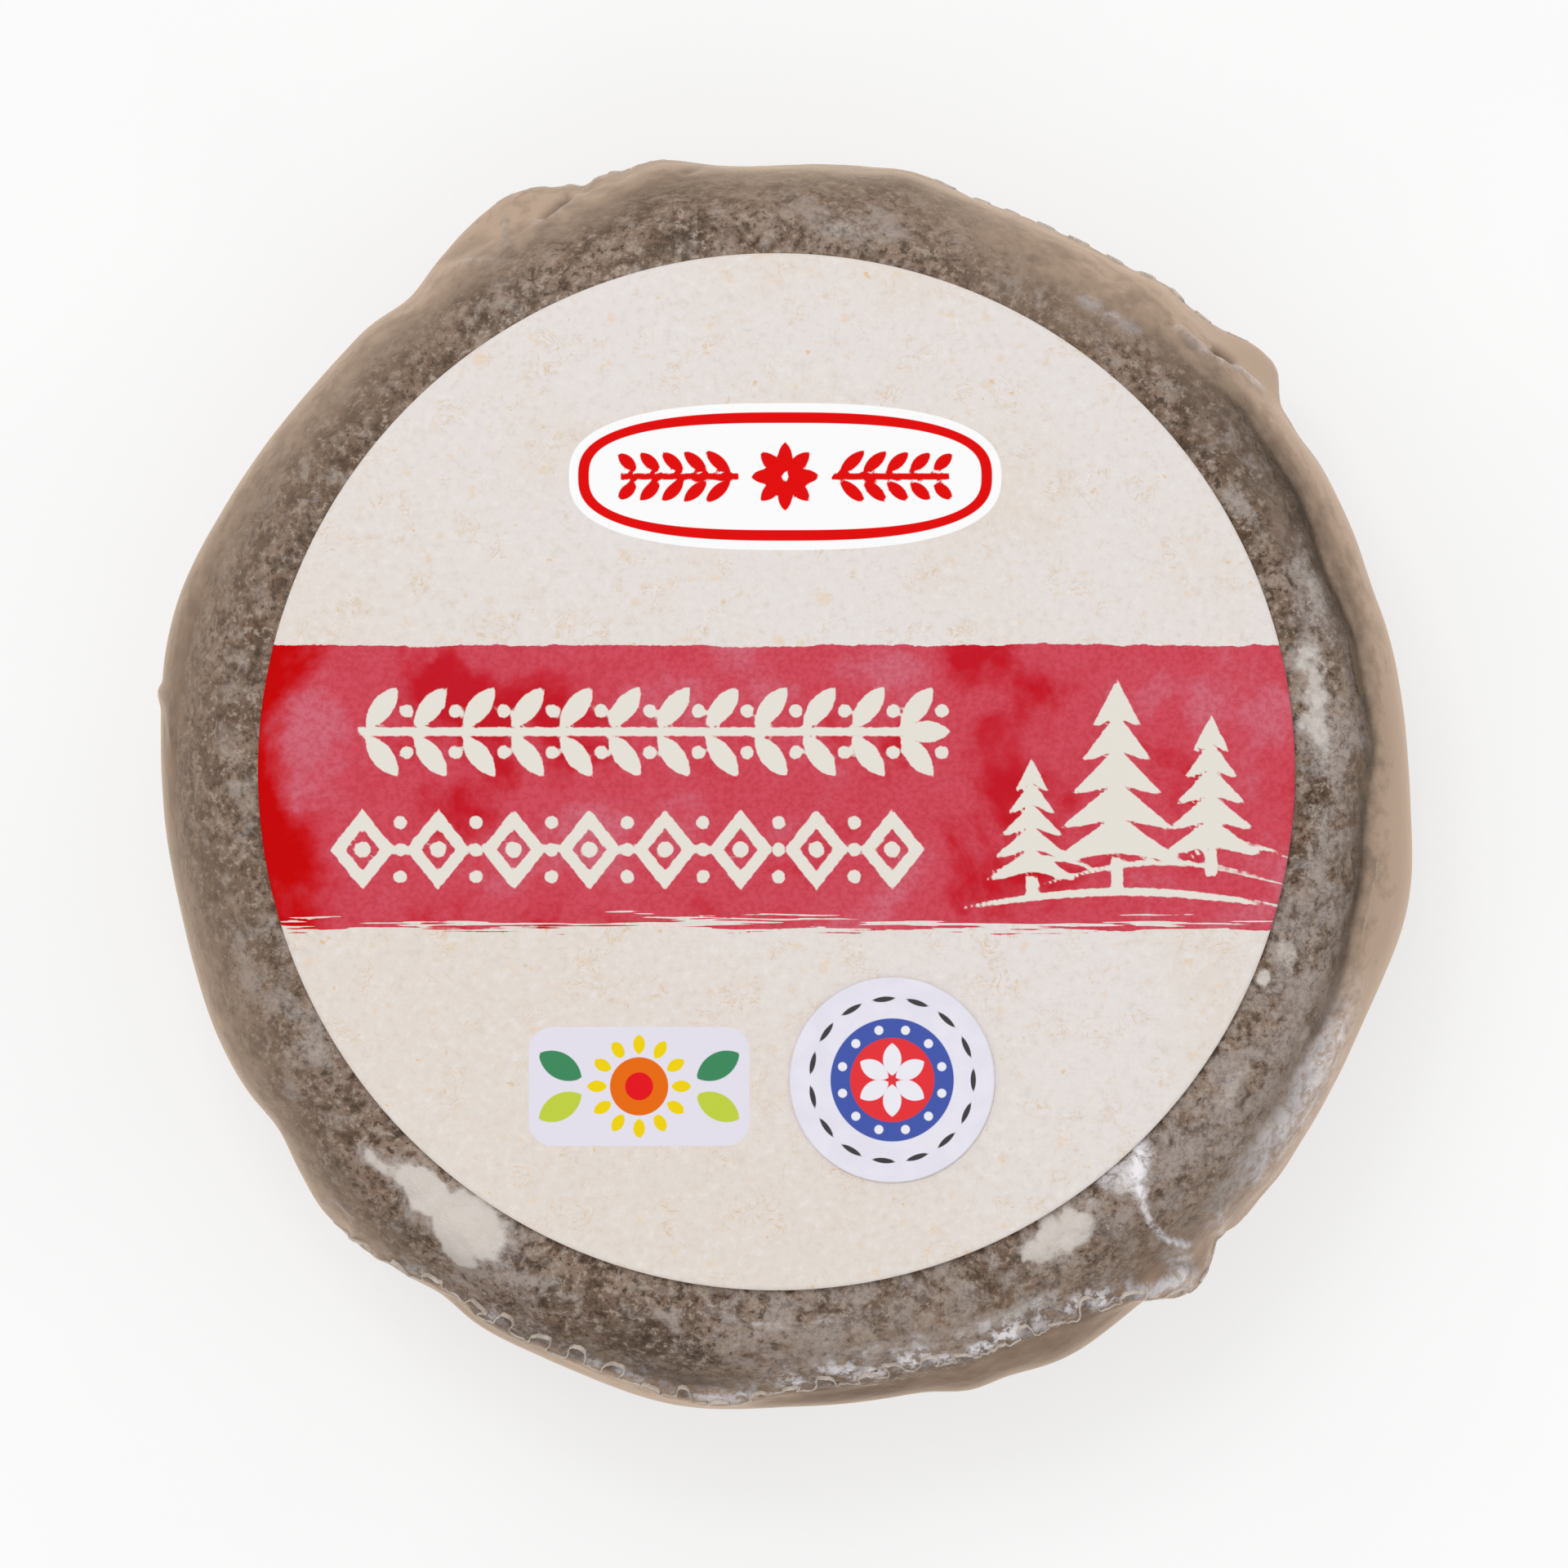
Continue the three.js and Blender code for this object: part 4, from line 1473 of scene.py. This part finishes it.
def make_seam(film):
    """The crimped lip of the welded seam, round the three sides that are welded."""
    angle = np.linspace(SEAM_STARTS, SEAM_ENDS, SEAM_POINTS)
    spot, out, side = seam_frame(angle)
    loops = seam_loops()
    count = np.interp(angle, loops[:, 0], np.arange(len(loops)))
    numbers = {
        "lip_size": lip_size(angle),
        "loop_count": count,
        "loop_height": loops[np.round(count).astype(int), 1],
        "loop_tight": smooth(angle, LOOPS_CROWD_TO - 8, LOOPS_CROWD_TO + 4),
        "loop_length": 1 / np.maximum(np.gradient(count, np.linspace(0, 1, len(angle))), 20),
    }
    mesh = bpy.data.meshes.new("seam_line")
    edges = [(i, i + 1) for i in range(len(angle) - 1)]
    mesh.from_pydata(shift_to_frame(spot).tolist(), edges, [])
    for key, vectors in (("lip_out", out), ("lip_side", side)):
        attribute = mesh.attributes.new(key, "FLOAT_VECTOR", "POINT")
        attribute.data.foreach_set("vector", vectors.astype(np.float32).reshape(-1))
    set_values(mesh, numbers)
    line = new_object("seam_line", mesh)
    piece = grown("film_seam", line, lip_tree(film, lip_material()))
    tie(piece, WHEEL)
    return piece


# Camera, light and floor


def make_camera():
    """Straight above the wheel, as far off as a product photo is taken from."""
    data = bpy.data.cameras.new("camera")
    data.sensor_width = SENSOR
    data.lens = SENSOR * VIEW_DISTANCE / FRAME_WIDTH
    data.clip_end = 20
    camera = new_object("camera", data)
    camera.location = (CAMERA_LEFT, CAMERA_DOWN, VIEW_DISTANCE + WAIST * MM)
    bpy.context.scene.camera = camera


def make_area_light(name, place, size, power):
    """A square soft light that points at the wheel."""
    data = bpy.data.lights.new(name, "AREA")
    data.shape = "SQUARE"
    data.size = size
    data.energy = power
    light = new_object(name, data)
    light.location = place
    aim = Vector((0, 0, 0.02)) - Vector(place)
    light.rotation_euler = aim.to_track_quat("-Z", "Y").to_euler()


def make_light():
    """A bright even room, with a soft light from beyond the top of the label."""
    scene = bpy.context.scene
    world = bpy.data.worlds.new("studio")
    world.use_nodes = True
    scene.world = world
    backdrop = world.node_tree.nodes["Background"]
    backdrop.inputs["Color"].default_value = (1, 1, 1, 1)
    backdrop.inputs["Strength"].default_value = DAYLIGHT
    make_area_light("key_light", KEY_PLACE, KEY_SIZE, KEY_POWER)
    scene.view_settings.view_transform = "Standard"
    scene.view_settings.look = "None"


def make_floor():
    mesh = bpy.data.meshes.new("floor")
    far = FLOOR_REACH
    corners = [(-far, -far, 0), (far, -far, 0), (far, far, 0), (-far, far, 0)]
    mesh.from_pydata(corners, [], [(0, 1, 2, 3)])
    mesh.materials.append(floor_material())
    floor = new_object("floor", mesh)


make_camera()
make_light()
make_floor()
make_cheese()
make_seam(make_film())
make_label()
make_sticker()
